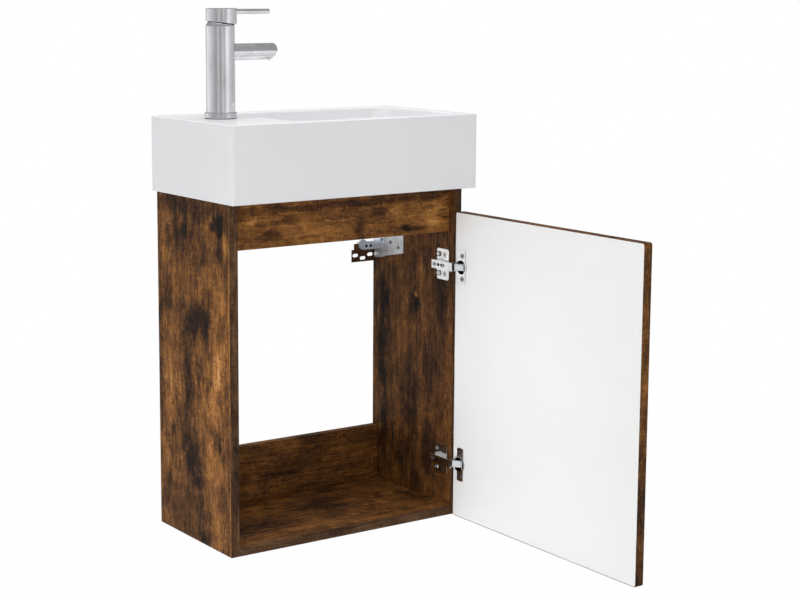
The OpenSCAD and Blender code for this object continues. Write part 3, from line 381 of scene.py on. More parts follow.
def smoked_oak(name, along, across, tone=0.0, contrast=1.0, seed=0.0, clouds_and_painted_light=(), knots=(), stops=OAK_STOPS,
               hatch=1.0, lines=0.0):
    """Decor with its grain along one axis. clouds_and_painted_light and knots: (across, along, half width,
    half length, weight), in millimetres on the board's own face; a negative weight makes a pale patch. Most
    such ellipses are burnt patches of the decor; some are painted shadow, painted shade or a painted highlight
    along a board's edge. An ellipse's value falls from 1 to 0 as its frayed distance |((p - centre) / half size)|
    grows. hatch scales the saw marks that lie on the whole board, and lines is the weight of long growth lines.
    tone = middle + sum of weight * (noise - 0.5) - burnt patches and painted light - knots - cracks + saw marks."""
    f = Finish(name, Roughness=0.55, Specular_IOR_Level=0.08)
    local = f.grain_space(along)
    u_slot = [a for a in "XYZ" if a != along].index(across)
    grain = f.stretch(local, (1, 1, 1), (seed, seed * 0.7, seed * 1.3))

    def layer(pitch_across, pitch_along, detail, rough=0.55, shift=(0, 0, 0), warp=0.0):
        """Noise with its own pitch across and along the grain, in features per metre."""
        stretched = f.stretch(grain, (pitch_across, pitch_across, pitch_along), shift)
        return f.noise(stretched, 1.0, detail, rough, warp)

    fray, fringe = layer(42, 20, 7, 0.74), layer(240, 50, 4, 0.7)

    def spots(places, near, far, fray_share):
        """The sum of the frayed ellipses, which fade between two distances."""
        total = 0.0
        for *ellipse, weight in places:
            u, v, wide, tall = np.array(ellipse) * MM
            scale, shift = [0.0, 0.0, 1 / tall], [0.0, 0.0, -v / tall]
            scale[u_slot], shift[u_slot] = 1 / wide, -u / wide
            vector = f.stretch(local, scale, shift)
            away = f.node("ShaderNodeVectorMath", {0: vector}, operation="LENGTH").outputs[1]
            away = f.add(f.add(away, fray, fray_share, 0.5), fringe, fray_share * 0.3, 0.5)
            total = f.add(total, f.ease(away, near, far, (1.0, 0.0)), weight)
        return total

    # These ellipses are burnt clouds of the decor, and on the left side and the front rail also painted shadow,
    # shade and highlight.
    placed = spots(clouds_and_painted_light, 0.25, 1.45, 3.6)
    ring, core = spots(knots, 0.7, 2.8, 1.0), spots(knots, 0.55, 1.1, 0.9)
    bend = f.add(f.add(0.0, layer(14, 4, 2, 0.5), 0.022, 0.5), ring, 0.006)
    side = f.node("ShaderNodeCombineXYZ", {0: bend, 1: bend}).outputs[0]
    grain = f.node("ShaderNodeVectorMath", {0: grain, 1: side}, operation="ADD").outputs[0]

    streak, fibre = layer(150, 16, 6, 0.72), layer(480, 60, 5, 0.74)
    # Broad drift, mottling, streaks, fibres, fine mottling, pores and growth lines, each with its weight.
    layers = [(layer(18, 7.0, 5, 0.62, warp=0.4), 0.55), (layer(46, 34, 8, 0.78, (5.0, 2.0, 3.0)), 0.90),
              (streak, 0.58), (fibre, 0.62), (layer(300, 210, 6, 0.80, (4.0, 6.0, 1.0)), 0.62),
              (layer(1700, 300, 3, 0.6), 0.30), (layer(300, 7, 3, 0.6, (2.0, 4.0, 5.0)), lines)]
    tone_now = MIDDLE_TONE + tone
    for noise, weight in layers:
        tone_now = f.add(tone_now, noise, weight * contrast, 0.5)
    haze = f.add(layer(17, 9.0, 8, 0.72, (3.1, 1.7, 4.2), 0.4), fringe, 0.25, 0.5)
    tone_now = f.add(f.add(tone_now, f.ease(haze, 0.50, 0.66), -0.20 * contrast), placed, -0.33)

    split = f.math("ABSOLUTE", f.math("SUBTRACT", layer(60, 6, 3, 0.6, (9.0, 5.0, 2.0), 0.3), 0.5))
    crack_zone = f.ease(layer(18, 14, 3, shift=(2.0, 8.0, 6.0)), 0.55, 0.64)
    crack = f.math("MULTIPLY", f.ease(split, 0.0, 0.012, (1.0, 0.0)), crack_zone)
    tone_now = f.add(tone_now, crack, -0.30)

    saw_zone = f.add(0.2 * hatch, f.ease(layer(26, 18, 4, shift=(6.0, 3.0, 1.0)), 0.47, 0.62), 0.75)
    saw = f.math("MULTIPLY", f.math("SUBTRACT", layer(60, 330, 5, 0.75, (1.0, 2.0, 7.0)), 0.5), saw_zone)
    tone_now = f.add(tone_now, saw, 0.60 * contrast)
    tone_now = f.add(f.add(tone_now, ring, -0.07), core, -0.40)
    f.set("Base Color", f.ramp(f.math("ADD", tone_now, 0.0, clamp=True), stops))
    f.set("Roughness", f.ease(tone_now, 0.1, 0.9, (0.64, 0.50)))
    relief = f.add(f.add(f.add(0.0, fibre, 0.6), streak, 0.8), crack, -0.9)
    f.set("Normal", f.bump(relief, 0.3, 0.0004))
    return f.material


print("smoked oak has", len(OAK_STOPS), "tones, and its middle tone is", MIDDLE_TONE)

# %% [markdown]
# ## The cabinet's boards
# Two sides, a bottom, a rail under the basin and a low rail at the back, of chipboard 15 mm thick. The
# grain is upright on the sides and lies along the width on the others, so each board has its own finish,
# with its own clouds and knots. Their places come first, in millimetres from the frame's origin.

# %% Clouds, knots and painted light of each board
# Painted light in this list: (-110, 122, 160, 22, 0.6) is a painted shadow of the basin along the board's top,
# (-6, -130, 7, 250, 0.4) is painted shade along its back edge, and (-226.2, -137, 1.2, 3000, -0.8) is a painted
# highlight along its front edge.
LEFT_CLOUDS_AND_PAINTED_LIGHT = [(-112, -52, 40, 27, 0.85), (-152, -46, 16, 20, 0.7), (-120, 78, 60, 50, 0.5),
               (-89, 84, 7.5, 14, 1), (-192, 102, 20, 14, 1.1), (-200, 66, 7.5, 26, 0.8),
               (-36, -28, 18, 32, 0.7), (-92, -125, 17, 45, 0.75), (-95, -197, 22, 45, 0.65),
               (-106, -270, 29, 40, 0.9), (-125, -312, 11, 13, 1), (-48, -246, 6, 16, 0.8),
               (-146, -403, 15, 16, 1), (-32, -331, 8, 26, 0.5), (-201, -326, 16, 24, 0.5),
               (-90, -375, 50, 40, 0.35), (-110, 122, 160, 22, 0.6), (-6, -130, 7, 250, 0.4),
               (-192, -12, 20, 30, -0.55), (-190, -115, 26, 40, -0.6), (-37, -126, 18, 40, -0.4),
               (-156, 20, 20, 16, -0.3), (-184, -187, 28, 45, -0.6), (-36, -194, 22, 40, -0.45),
               (-182, -275, 22, 35, -0.5), (-216, 80, 8, 30, -0.6), (-226.2, -137, 1.2, 3000, -0.8)]
LEFT_KNOTS = [(-195.7, -244.5, 3.6, 9.5, 1), (-45, -200, 3, 7, 0.6), (-140, -345, 3, 7, 0.6)]
RIGHT_CLOUDS = [(-27, -133, 12, 120, 1), (-45, -80, 7, 40, 0.8), (-36, -290, 12, 60, 0.7),
                (-196, -54, 22, 60, 0.8), (-126, -72, 16, 22, 0.5), (-163, -300, 16, 50, 0.7),
                (-110, -230, 22, 60, 0.5), (-76, 1, 12, 30, -0.5), (-86, -123, 18, 60, -0.35),
                (-137, -15, 11, 26, -0.45), (-70, -335, 20, 60, -0.25), (-170, -160, 20, 60, 0.35)]
RIGHT_KNOTS = [(-128, -68, 7, 7, 0.9), (-126, -54, 3.2, 5, -0.9)]
BOTTOM_CLOUDS = [(-100, 20, 30, 50, 0.6), (-150, -120, 30, 60, 0.6), (-170, 100, 30, 50, -0.3),
                 (-190, -20, 20, 60, -0.3)]
# (122, -10, 6, 180, 0.7) is a painted shadow of the basin along the rail's top edge.
RAIL_CLOUDS_AND_PAINTED_SHADOW = [(104, -107, 8, 16, 0.7), (82, -142, 10, 30, 0.6), (79, 26, 12, 8, 0.6), (100, 67, 14, 12, 0.4),
               (73.5, 140, 4, 24, 0.9), (77, 116, 6, 8, 1), (122, -10, 6, 180, 0.7), (130, 150, 10, 60, 0.7),
               (101, 193, 1, 11, 0.9), (89, 197, 1, 9, 0.9), (95, 187, 0.8, 6, 0.7), (100, -174, 10, 11, -0.7),
               (105, 104, 16, 14, -0.55), (92, 172, 18, 28, -0.5), (88, -30, 10, 50, -0.25)]
BACK_CLOUDS = [(-345, -165, 20, 30, 0.7), (-320, 20, 20, 50, -0.2)]
print("clouds:", len(LEFT_CLOUDS_AND_PAINTED_LIGHT), "left,", len(RIGHT_CLOUDS), "right,", len(RAIL_CLOUDS_AND_PAINTED_SHADOW), "on the front rail")

# %% Boards
BOARD_EDGE = 0.45 * MM


def board(name, node, finish, edge=BOARD_EDGE, slot="oak_decor"):
    """A slab with broken edges that fills a CAD board's box."""
    return piece(name, *slab(*box(node), edge), "cabinet", finish, replaces=[node], slot=slot)


left_oak = smoked_oak("oak_side_left", "Z", "Y", tone=-0.06, contrast=1.08, seed=1.7, clouds_and_painted_light=LEFT_CLOUDS_AND_PAINTED_LIGHT,
                      knots=LEFT_KNOTS)
right_oak = smoked_oak("oak_side_right", "Z", "Y", tone=-0.15, contrast=0.80, seed=4.4, clouds_and_painted_light=RIGHT_CLOUDS,
                       knots=RIGHT_KNOTS, lines=0.55)
bottom_oak = smoked_oak("oak_bottom", "X", "Y", tone=-0.08, contrast=0.95, seed=7.9, clouds_and_painted_light=BOTTOM_CLOUDS,
                        lines=0.60)
rail_oak = smoked_oak("oak_front_rail", "X", "Z", tone=-0.01, contrast=0.85, seed=2.8, clouds_and_painted_light=RAIL_CLOUDS_AND_PAINTED_SHADOW,
                      hatch=1.8, lines=0.25)
back_oak = smoked_oak("oak_back_rail", "X", "Z", tone=-0.10, contrast=0.8, seed=9.6, clouds_and_painted_light=BACK_CLOUDS,
                      lines=0.60)
for name, node, finish in (
        ("side_left", "side_panel_left", left_oak), ("side_right", "side_panel_right", right_oak),
        ("bottom_board", "bottom_panel", bottom_oak), ("rail_front", "front_rail", rail_oak),
        ("rail_back", "back_rail", back_oak)):
    made = board(name, node, finish)
    print(name, len(made.data.polygons), "faces, size", in_mm(*made.dimensions))

# %% [markdown]
# The front edges are closed with a thin band in the same decor, darker and duller than the faces. It is
# a piece of its own and no stripe in the board's finish, because its grain runs along the edge.

# %% Edge bands
BAND_EDGE = 0.3 * MM
BAND_STOPS = [(0.0, (28, 20, 14)), (0.3, (55, 38, 25)), (0.55, (80, 56, 37)), (0.8, (104, 76, 51)),
              (1.0, (132, 98, 68))]
band_upright = smoked_oak("oak_band_upright", "Z", "X", tone=-0.08, contrast=1.1, seed=5.2, stops=BAND_STOPS,
                          lines=0.8)
band_level = smoked_oak("oak_band_level", "X", "Z", tone=-0.08, seed=6.1, stops=BAND_STOPS, lines=0.8)
for side, finish in (("left", band_upright), ("right", band_upright), ("bottom", band_level)):
    board("band_" + side, "edge_band_" + side, finish, BAND_EDGE, "oak_edge")
print("cabinet front edge at", in_mm(box("edge_band_left")[0][1]))

# %% [markdown]
# ## The door
# A core with an oak outer face, a white sheet inside and a band all round, with slightly rounded
# corners. The core and the sheet have holes for the hinge cups, so their CAD meshes are dressed further
# down. The band could be four strips, but a closed ring shows no joint at the corners: its cross-section
# is carried round the door's outline.

# %% Door finishes
DOOR_CLOUDS = [(-340, -60, 60, 40, 1), (-370, -160, 24, 90, 0.8), (-560, -280, 50, 50, 1),
               (-600, 20, 40, 40, 0.8), (-280, -330, 30, 40, 0.7), (-480, 30, 30, 50, -0.5),
               (-450, -200, 40, 80, -0.5), (-640, -140, 30, 60, 0.6)]
DOOR_KNOTS = [(-360, -50, 8, 10, 0.9), (-520, -270, 4, 9, 1), (-300, -310, 3, 7, 0.9), (-620, 30, 4, 8, 0.9)]
door_oak = smoked_oak("oak_door", "Z", "Y", seed=12.4, clouds_and_painted_light=DOOR_CLOUDS, knots=DOOR_KNOTS)


def melamine(name):
    """White melamine: a pearl structure of 0.6 mm cells, with a barely visible change of tone."""
    f = Finish(name, Roughness=0.38, Specular_IOR_Level=0.4)
    cells = f.noise(f.spot, 1700, 3, 0.6)
    drift = f.noise(f.spot, 9, 3, 0.5)
    f.set("Base Color", f.ramp(drift, [(0.3, (238, 238, 237)), (0.7, (240, 240, 239))]))
    f.set("Roughness", f.ease(cells, 0.3, 0.7, (0.34, 0.44)))
    f.set("Normal", f.bump(cells, 0.12, 0.00005))
    return f.material


white_sheet = melamine("white_melamine")
print("door finishes:", door_oak.name, "outside,", white_sheet.name, "inside")

# %% Door band
door_low, door_high = box("door_edge_band")
DOOR_CORNER, DOOR_BAND_EDGE = 4 * MM, 0.4 * MM


def door_band(name, finish):
    """A closed ring: the band's rounded cross-section is carried round the door's outline along its normals."""
    middle, half = (door_high + door_low) / 2, (door_high - door_low) / 2
    ring = outline(half[1], half[2], DOOR_CORNER, corner=8)
    along = np.roll(ring, -1, 0) - np.roll(ring, 1, 0)
    along /= np.linalg.norm(along, axis=1, keepdims=True)
    normal = np.column_stack([along[:, 1], -along[:, 0]])
    thick = box("door_panel")[0][2] - door_low[2]
    left, right = door_low[0], door_high[0]
    section = rounded_profile([(0, left, DOOR_BAND_EDGE), (0, right, DOOR_BAND_EDGE), (-thick, right, 0),
                               (-thick, left, 0)], closed=True)
    yz = ring[:, None] + normal[:, None] * section[None, :, :1] + middle[1:]
    x = np.broadcast_to(section[None, :, 1:], yz.shape[:2] + (1,))
    points = np.concatenate([x, yz], -1)
    rows, cols = points.shape[:2]
    quads = grid_quads(rows + 1, cols) % (rows * cols)
    return piece(name, points, quads, "door", finish, replaces=["door_edge_band"], slot="oak_edge", sharp=35)


door_edge_oak = smoked_oak("oak_door_band", "Z", "X", tone=-0.17, seed=3.3, lines=0.3)
door_band("door_band", door_edge_oak)
print("door", in_mm(*door_high - door_low))

# %% [markdown]
# ## The ceramic basin
# A basin is one closed skin. Here it is a stack of loops that all have the same number of points:
# they start at the waste, climb the bowl, turn over the soft rim, cross the flat top, turn down the
# outer wall, pass under the foot and run back inside to the waste. Neighbouring loops are joined by
# quads, so the glaze has no seam. Boxes cut from each other could give the form too, but their edges
# are hard to round as softly as glaze does. The first cell measures, the second stacks the loops.

# %% Basin measures and profiles
b_low, b_high = box("basin")
deck, base = b_high[2], b_low[2]
flange_low, flange_high = box("waste_body")
floor_top = flange_high[2]
waste = (flange_low + flange_high)[:2] / 2
DISH_R = (flange_high - flange_low)[0] / 2 + 1.2 * MM
LEDGE_W, RIM_RIGHT, RIM_FRONT, RIM_BACK = 125 * MM, 24 * MM, 22 * MM, 27 * MM
FOOT_SIDE, FOOT_FRONT, FOOT_BACK, FOOT_H, FOOT_CORNER = 30 * MM, 58 * MM, 30 * MM, 15 * MM, 4 * MM
LIP, LIP_R, EDGE_R, UPRIGHT_R = 6 * MM, 3.0 * MM, 1.6 * MM, 5 * MM
BOWL_CORNER, FLOOR_CORNER, UNDER_CORNER = 26 * MM, 22 * MM, 24 * MM
WALL_T, SHELL_T, FLOOR_T = 9 * MM, 8 * MM, 9 * MM


def middle_and_half(left, front, right, back):
    """Middle and half size of a rectangle that lies so far inside the basin's outline on its four sides."""
    low, high = b_low[:2] + (left, front), b_high[:2] - (right, back)
    return (low + high) / 2, (high - low) / 2


bowl_mid, bowl_half = middle_and_half(LEDGE_W, RIM_FRONT, RIM_RIGHT, RIM_BACK)
outer_mid, outer_half = middle_and_half(0, 0, 0, 0)
foot_mid, foot_half = middle_and_half(FOOT_SIDE, FOOT_FRONT, FOOT_SIDE, FOOT_BACK)


def basin_loop(mid, half, radius, z, circle=None, share=0.0):
    """A rounded rectangle at height z; with `circle` its points move by `share` towards a circle of that
    radius round the waste."""
    flat = outline(half[0], half[1], radius, corner=14, side=26)
    if circle is not None:
        spread = flat / np.linalg.norm(flat, axis=1, keepdims=True)
        flat = flat * (1 - share) + spread * circle * share
        mid = mid * (1 - share) + waste * share
    return np.column_stack([flat + mid, np.full(len(flat), z)])


def round_loop(radius, z, inset=30 * MM, corner=20 * MM):
    """A circle round the waste, whose points lie in the directions of a rounded rectangle's points."""
    return basin_loop(bowl_mid, bowl_half - inset, corner, z, circle=radius, share=1.0)


# (inset, height) from the rim to the floor: a soft lip, a leaning wall and a wide fillet.
bowl = rounded_profile([(-LIP, deck, 0), (0, deck, LIP_R), (21 * MM, floor_top + 1 * MM, 23 * MM),
                        (70 * MM, floor_top, 0)])[1:-1]
skirt = rounded_profile([(30 * MM, deck, 0), (0, deck, EDGE_R), (0, base, 2 * MM), (20 * MM, base, 0)])[1:-1]
under = floor_top - FLOOR_T
print("bowl", in_mm(*2 * bowl_half, deck - floor_top))

# %% Basin loops
# The dish round the waste, the bowl's floor and its walls.
loops = [round_loop(r, floor_top - sunk) for r, sunk in ((14 * MM, 3 * MM), (DISH_R - 2 * MM, 3 * MM),
                                                         (DISH_R - 0.4 * MM, 2.6 * MM), (DISH_R + 0.6 * MM, 0))]
for share in (0.85, 0.6, 0.35, 0.15):
    loops.append(basin_loop(bowl_mid, bowl_half - bowl[-1][0], FLOOR_CORNER, floor_top + 0.4 * MM * (1 - share),
                            circle=DISH_R, share=share))
for inset, z in bowl[::-1]:
    corner_r = BOWL_CORNER + 4 * MM * np.clip(inset / (20 * MM), 0, 1)
    loops.append(basin_loop(bowl_mid, bowl_half - inset, corner_r, z))

# The flat top and the outer wall.
for share in (0.08, 0.5, 0.92):
    mid = bowl_mid * (1 - share) + outer_mid * share
    half = (bowl_half + LIP) * (1 - share) + (outer_half - EDGE_R - GUARD) * share
    loops.append(basin_loop(mid, half, BOWL_CORNER * (1 - share) + UPRIGHT_R * share, deck))
for inset, z in skirt:
    loops.append(basin_loop(outer_mid, outer_half - inset, max(UPRIGHT_R - inset, 0.6 * MM), z))

# The foot, the inside of the wall, the bowl's underside and the way back to the waste.
for z in (base, base + FOOT_H):
    loops.append(basin_loop(foot_mid, foot_half, FOOT_CORNER, z))
for z in (base + FOOT_H, deck - 12 * MM):
    loops.append(basin_loop(outer_mid, outer_half - WALL_T, FOOT_CORNER, z))
for inset, z in bowl[8:-1:4]:
    if z < deck - 14 * MM:
        loops.append(basin_loop(bowl_mid, bowl_half - inset + SHELL_T, 34 * MM, max(z - 2 * MM, under)))
UNDER_INSET = 26 * MM
loops.append(basin_loop(bowl_mid, bowl_half - UNDER_INSET, UNDER_CORNER, under))
loops.append(round_loop(23 * MM, under, UNDER_INSET, UNDER_CORNER))
loops.append(round_loop(22.5 * MM, floor_top - 3 * MM, UNDER_INSET, UNDER_CORNER))
basin_points = np.array(loops)
basin_quads = grid_quads(len(loops), basin_points.shape[1])
print("basin loops", basin_points.shape)

# %% [markdown]
# Vitreous china is a white body under a thick clear glaze. The shader gets a pale base, a low
# roughness and a weak reflection. A slow waviness of the glaze keeps large reflections from looking drawn
# with a ruler, and a trace of grey specks and pooled glaze breaks up the white.

# %% Glazed ceramic
def glaze(name):
    """White base with slow tone drift, faint specks, and a glaze that ripples very slightly."""
    f = Finish(name, Roughness=0.22, Specular_IOR_Level=0.09)
    drift = f.noise(f.spot, 6, 3, 0.5)
    base = f.ramp(drift, [(0.3, (221, 221, 223)), (0.7, (225, 225, 226))])
    specks = f.ease(f.noise(f.spot, 900, 2, 0.5), 0.72, 0.80)
    f.set("Base Color", f.blend(f.math("MULTIPLY", specks, 0.10), base, linear((188, 186, 182))))
    ripple = f.noise(f.spot, 22, 3, 0.5)
    f.set("Normal", f.bump(ripple, 0.05, 0.0004))
    return f.material


basin = piece("basin_skin", basin_points, basin_quads, "cabinet", glaze("white_glaze"), replaces=["basin"],
              slot="glaze", sharp=50)
print("basin", len(basin.data.polygons), "faces, size", in_mm(*basin.dimensions))

# %% [markdown]
# ## Metals
# Chrome, bright nickel, zinc and brass share one recipe: a metallic base, a roughness that a fine
# noise varies, and a bump of brushing or casting marks at that metal's own scale. A bare metallic
# shader would do from afar, but close by it looks drawn. The hinge cups' nickel gets painted shade
# inside the cup, because the photograph shows a dark well there.

# %% Metal recipes
def metal(name, rgb, rough, rough_spread, grain_scale, bump, blotch=0.03, metallic=1.0):
    """A metal whose colour drifts by `blotch` and whose roughness varies round its mean. grain_scale: features
    per metre along X, Y and Z, or one number for all three; bump: height in metres."""
    f = Finish(name, Metallic=metallic)
    pitch = grain_scale if isinstance(grain_scale, tuple) else (grain_scale,) * 3
    patches = f.noise(f.stretch(f.spot, pitch), 0.35, 4, 0.6)
    dark = tuple(c * (1 - blotch * 3) for c in rgb)
    f.set("Base Color", f.ramp(patches, [(0.3, dark), (0.65, rgb)]))
    marks = f.noise(f.stretch(f.spot, pitch), 1.0, 5, 0.65)
    f.set("Roughness", f.ease(marks, 0.25, 0.75, (max(rough - rough_spread, 0.02), rough + rough_spread)))
    f.set("Normal", f.bump(marks, 0.15, bump))
    return f.material


chrome = metal("polished_chrome", (236, 237, 239), 0.03, 0.012, (160, 160, 60), 0.000001)
nickel = metal("bright_nickel", (248, 247, 245), 0.14, 0.05, (900, 900, 300), 0.00002)
steel = metal("screw_steel", (140, 140, 142), 0.24, 0.08, 1400, 0.00003)
# Near-black finish for painted shade: rings round screw heads, and discs and rings in the arms' slots and the
# hooks' eyes.
painted_shade_steel = metal("shadow_steel", (52, 50, 50), 0.45, 0.08, 1400, 0.00003)
# Grey finish for small marks, and for the painted shade round the spare holes.
grey_mark_and_shade_steel = metal("grey_steel", (150, 150, 152), 0.34, 0.08, 1100, 0.00003)
link_steel = metal("link_steel", (216, 218, 221), 0.20, 0.06, 900, 0.00002)
hook_steel = metal("blued_zinc", (222, 229, 238), 0.20, 0.06, 700, 0.00002)
zinc = metal("zinc_plate", (214, 214, 215), 0.38, 0.10, 260, 0.00003, blotch=0.05, metallic=0.75)
brass = metal("machined_brass", (196, 164, 98), 0.28, 0.08, (700, 700, 200), 0.00003)
bronze = metal("bronzed_steel", (112, 82, 56), 0.42, 0.10, (320, 320, 180), 0.00003, blotch=0.10, metallic=0.6)


def cup_nickel_painted_shade(name, mouth_x, depth=0.5 * MM):
    """Nickel with painted shade inside the cup: past the mouth's plane the base darkens over `depth` to near
    black, for the shade in the cup's well.
    """
    f = Finish(name, Metallic=1.0)
    x = f.node("ShaderNodeSeparateXYZ", {0: f.spot}).outputs["X"]
    inside = f.ease(x, mouth_x, mouth_x + depth)
    marks = f.noise(f.stretch(f.spot, (900, 900, 300)), 1.0, 5, 0.65)
    plated = f.ramp(marks, [(0.3, (236, 235, 233)), (0.65, (248, 247, 245))])
    # Painted shade: inside the cup the base blends to a dark brown-grey.
    f.set("Base Color", f.blend(inside, plated, linear((40, 38, 36))))
    f.set("Roughness", f.ease(marks, 0.25, 0.75, (0.12, 0.24)))
    f.set("Normal", f.bump(marks, 0.15, 0.00002))
    return f.material


# The painted shade inside the hinge cups starts this far before the door's inner face.
MOUTH_BEFORE_DOOR = 0.9 * MM
cup_finish_with_painted_shade = cup_nickel_painted_shade("cup_nickel_painted_shade", door_low[0] - MOUTH_BEFORE_DOOR)
print("metals made, the cups' mouths lie before the door by", in_mm(MOUTH_BEFORE_DOOR))

# %% [markdown]
# The small inner pieces get plain workshop finishes: black rubber with a mould's fine grain, the
# cartridge's polymer, and raw beech for the dowels. They hardly show here, but a reader who takes the
# unit apart sees them.

# %% Rubber, polymer and beech
def moulded(name, rgb, rough, scale, depth):
    """A moulded surface: two close tones and a fine erosion grain."""
    f = Finish(name, Roughness=rough, Specular_IOR_Level=0.4)
    grain = f.noise(f.spot, scale, 4, 0.6)
    f.set("Base Color", f.ramp(grain, [(0.3, tuple(c * 0.88 for c in rgb)), (0.7, rgb)]))
    f.set("Roughness", f.ease(grain, 0.3, 0.7, (rough - 0.06, rough + 0.08)))
    f.set("Normal", f.bump(grain, 0.3, depth))
    return f.material


rubber = moulded("black_rubber", (34, 34, 35), 0.62, 1500, 0.00006)
polymer = moulded("cartridge_polymer", (224, 223, 214), 0.42, 1100, 0.00003)
BEECH_STOPS = [(0.0, (150, 112, 74)), (0.5, (196, 160, 116)), (1.0, (222, 190, 150))]
beech = smoked_oak("raw_beech", "X", "Z", tone=0.1, contrast=0.4, seed=15.0, stops=BEECH_STOPS)
print("inner finishes:", rubber.name, polymer.name, beech.name)

# %% [markdown]
# ## The tap
# Nearly every part of the tap is turned, so its pieces are lathe profiles: base ring, body, domed
# collar, lever and aerator. The cap is turned too, but its lower edge slopes: the height of the edge
# is a plane through the axis, h = h0 - x tan(slope). The spout is a tube whose end is cut at a slant.

# %% Tap body, ring, collar and lever
ring_low, ring_high = box("tap_base_ring")
body_low, body_high = box("tap_body")
collar_top = box("tap_collar")[1][2]
cap_low, cap_high = box("handle_cap")
lever_low, lever_high = box("handle_lever")
tap_x, tap_y = (ring_low + ring_high)[:2] / 2
body_r, ring_r = (body_high - body_low)[0] / 2, (ring_high - ring_low)[0] / 2
cap_r, cap_x = (cap_high - cap_low)[1] / 2, (cap_high + cap_low)[0] / 2
lever_r, lever_z = (lever_high - lever_low)[2] / 2, (lever_high + lever_low)[2] / 2
lever_root = cap_x + cap_r - 4 * MM
ALONG_X = np.array([[0, 0, 1], [0, 1, 0], [-1, 0, 0]])
BORE_R, BORE_DEEP = 12 * MM, 20 * MM
NECK_R, DOME_R, DOME_WALL = 11 * MM, 19.4 * MM, 4.5 * MM


def chromed(name, node, corners, centre=(tap_x, tap_y, 0), body="cabinet", **more):
    """A chromed piece turned round the tap's axis, in the place of one CAD node."""
    return lathe(name, corners, centre, body, chrome, replaces=[node], slot="chrome", **more)


foot, shoulder = ring_low[2], ring_high[2]
chromed("tap_ring", "tap_base_ring", [
    (body_r - 1 * MM, foot, 0), (ring_r, foot, 0.6 * MM), (ring_r - 0.8 * MM, shoulder, 1.2 * MM),
    (body_r + 0.4 * MM, shoulder, 0.3 * MM), (body_r - 1 * MM, shoulder - 0.6 * MM, 0)])
foot, shoulder = body_low[2], body_high[2]
chromed("tap_column", "tap_body", [
    (0, foot, 0), (body_r, foot, 0), (body_r, shoulder, 0), (BORE_R, shoulder, 0),
    (BORE_R, shoulder - BORE_DEEP, 0), (0, shoulder - BORE_DEEP, 0)], segments=128)
chromed("tap_dome", "tap_collar", [
    (NECK_R, shoulder, 0), (body_r, shoulder, 0), (body_r, shoulder + DOME_WALL, 6 * MM),
    (DOME_R, collar_top, 2 * MM), (NECK_R, collar_top, 0.4 * MM), (NECK_R, shoulder, 0)], segments=128)
chromed("lever_pin", "handle_lever", [
    (0, lever_root, 0), (lever_r, lever_root, 0), (lever_r, lever_high[0], 1.1 * MM), (0, lever_high[0], 0)],
    (0, tap_y, lever_z), "tap_handle", turn=ALONG_X, segments=48)
print("tap axis", in_mm(tap_x, tap_y), "body radius", in_mm(body_r))

# %% Cap with its sloping edge
CAP_SLOPE, CAP_WALL, ROOF, CAP_GAP = math.radians(7), 1.6 * MM, 10.5 * MM, 1.6 * MM


def cap_grid(segments=128):
    """Rows from the roof's middle, over the rounded top edge, down the outside to the sloping edge, and back
    up the inside: x = cap_x + r cos a, y = r sin a; the edge is at z = h0 - (x - tap_x) tan(slope)."""
    a = np.linspace(0, 2 * np.pi, segments, endpoint=False)
    top = cap_high[2]

    def x_of(r):
        """X of the points at radius r."""
        return cap_x + r * np.cos(a)

    def edge(inset, up):
        """A row near the sloping edge, so far inside the outer radius and above the edge."""
        return cap_r - inset, collar_top - CAP_GAP - (x_of(cap_r) - tap_x) * math.tan(CAP_SLOPE) + up

    roof = rounded_profile([(0, top, 0), (cap_r, top, 1.0 * MM), (cap_r, top - 8 * MM, 0)])[:-1]
    rows = [(r, np.full(segments, z)) for r, z in roof]
    rows += [edge(inset * MM, up * MM) for inset, up in ((0, 1.2), (0, 0.4), (0.04, 0.16), (0.16, 0.04), (0.4, 0))]
    rows += [edge(CAP_WALL - 0.3 * MM, 0), edge(CAP_WALL, 0.3 * MM)]
    rows += [(r, np.full(segments, top - ROOF)) for r in (cap_r - CAP_WALL, 0)]
    return np.array([np.column_stack([x_of(r), tap_y + r * np.sin(a), z]) for r, z in rows])


cap_points = cap_grid()
piece("handle_cap_shell", cap_points, grid_quads(*cap_points.shape[:2]), "tap_handle", chrome,
      replaces=["handle_cap"], slot="chrome")
print("cap", cap_points.shape[:2], "points, lowest at", in_mm(cap_points[..., 2].min()))

# %% Spout with its slanted mouth
SPOUT_ROOT, SPOUT_R, DENSE_END, DENSE_STEP = 6 * MM, 3.2 * MM, 32 * MM, 0.8 * MM
MOUTH_TURN, MOUTH_BACK, MOUTH_DOWN = math.radians(45), 7.5 * MM, 5.6 * MM


def spout_grid(segments=96):
    """A closed tube along X from inside the body to the tip, with a rounded end and dense rows near it:
    y = r sin a, z = z0 + r cos a."""
    low, high = box("tap_spout")
    r, z0 = (high - low)[1] / 2, (high + low)[2] / 2
    tip, start = high[0], tap_x + body_r - SPOUT_ROOT
    profile = rounded_profile([(0, tip, 0), (r, tip, SPOUT_R), (r, start, 0), (0, start, 0)])
    dense = [profile[:1]]
    for a, b in zip(profile[:-1], profile[1:]):
        n = max(int(np.linalg.norm(b - a) / DENSE_STEP), 1) if b[1] > tip - DENSE_END else 1
        dense.append(a + (b - a) * np.linspace(0, 1, n + 1)[1:, None])
    profile = np.concatenate(dense)
    a = np.linspace(0, 2 * np.pi, segments, endpoint=False)
    x = np.broadcast_to(profile[:, 1:], (len(profile), segments))
    return np.stack([x, tap_y + profile[:, :1] * np.sin(a), z0 + profile[:, :1] * np.cos(a)], -1), z0, tip


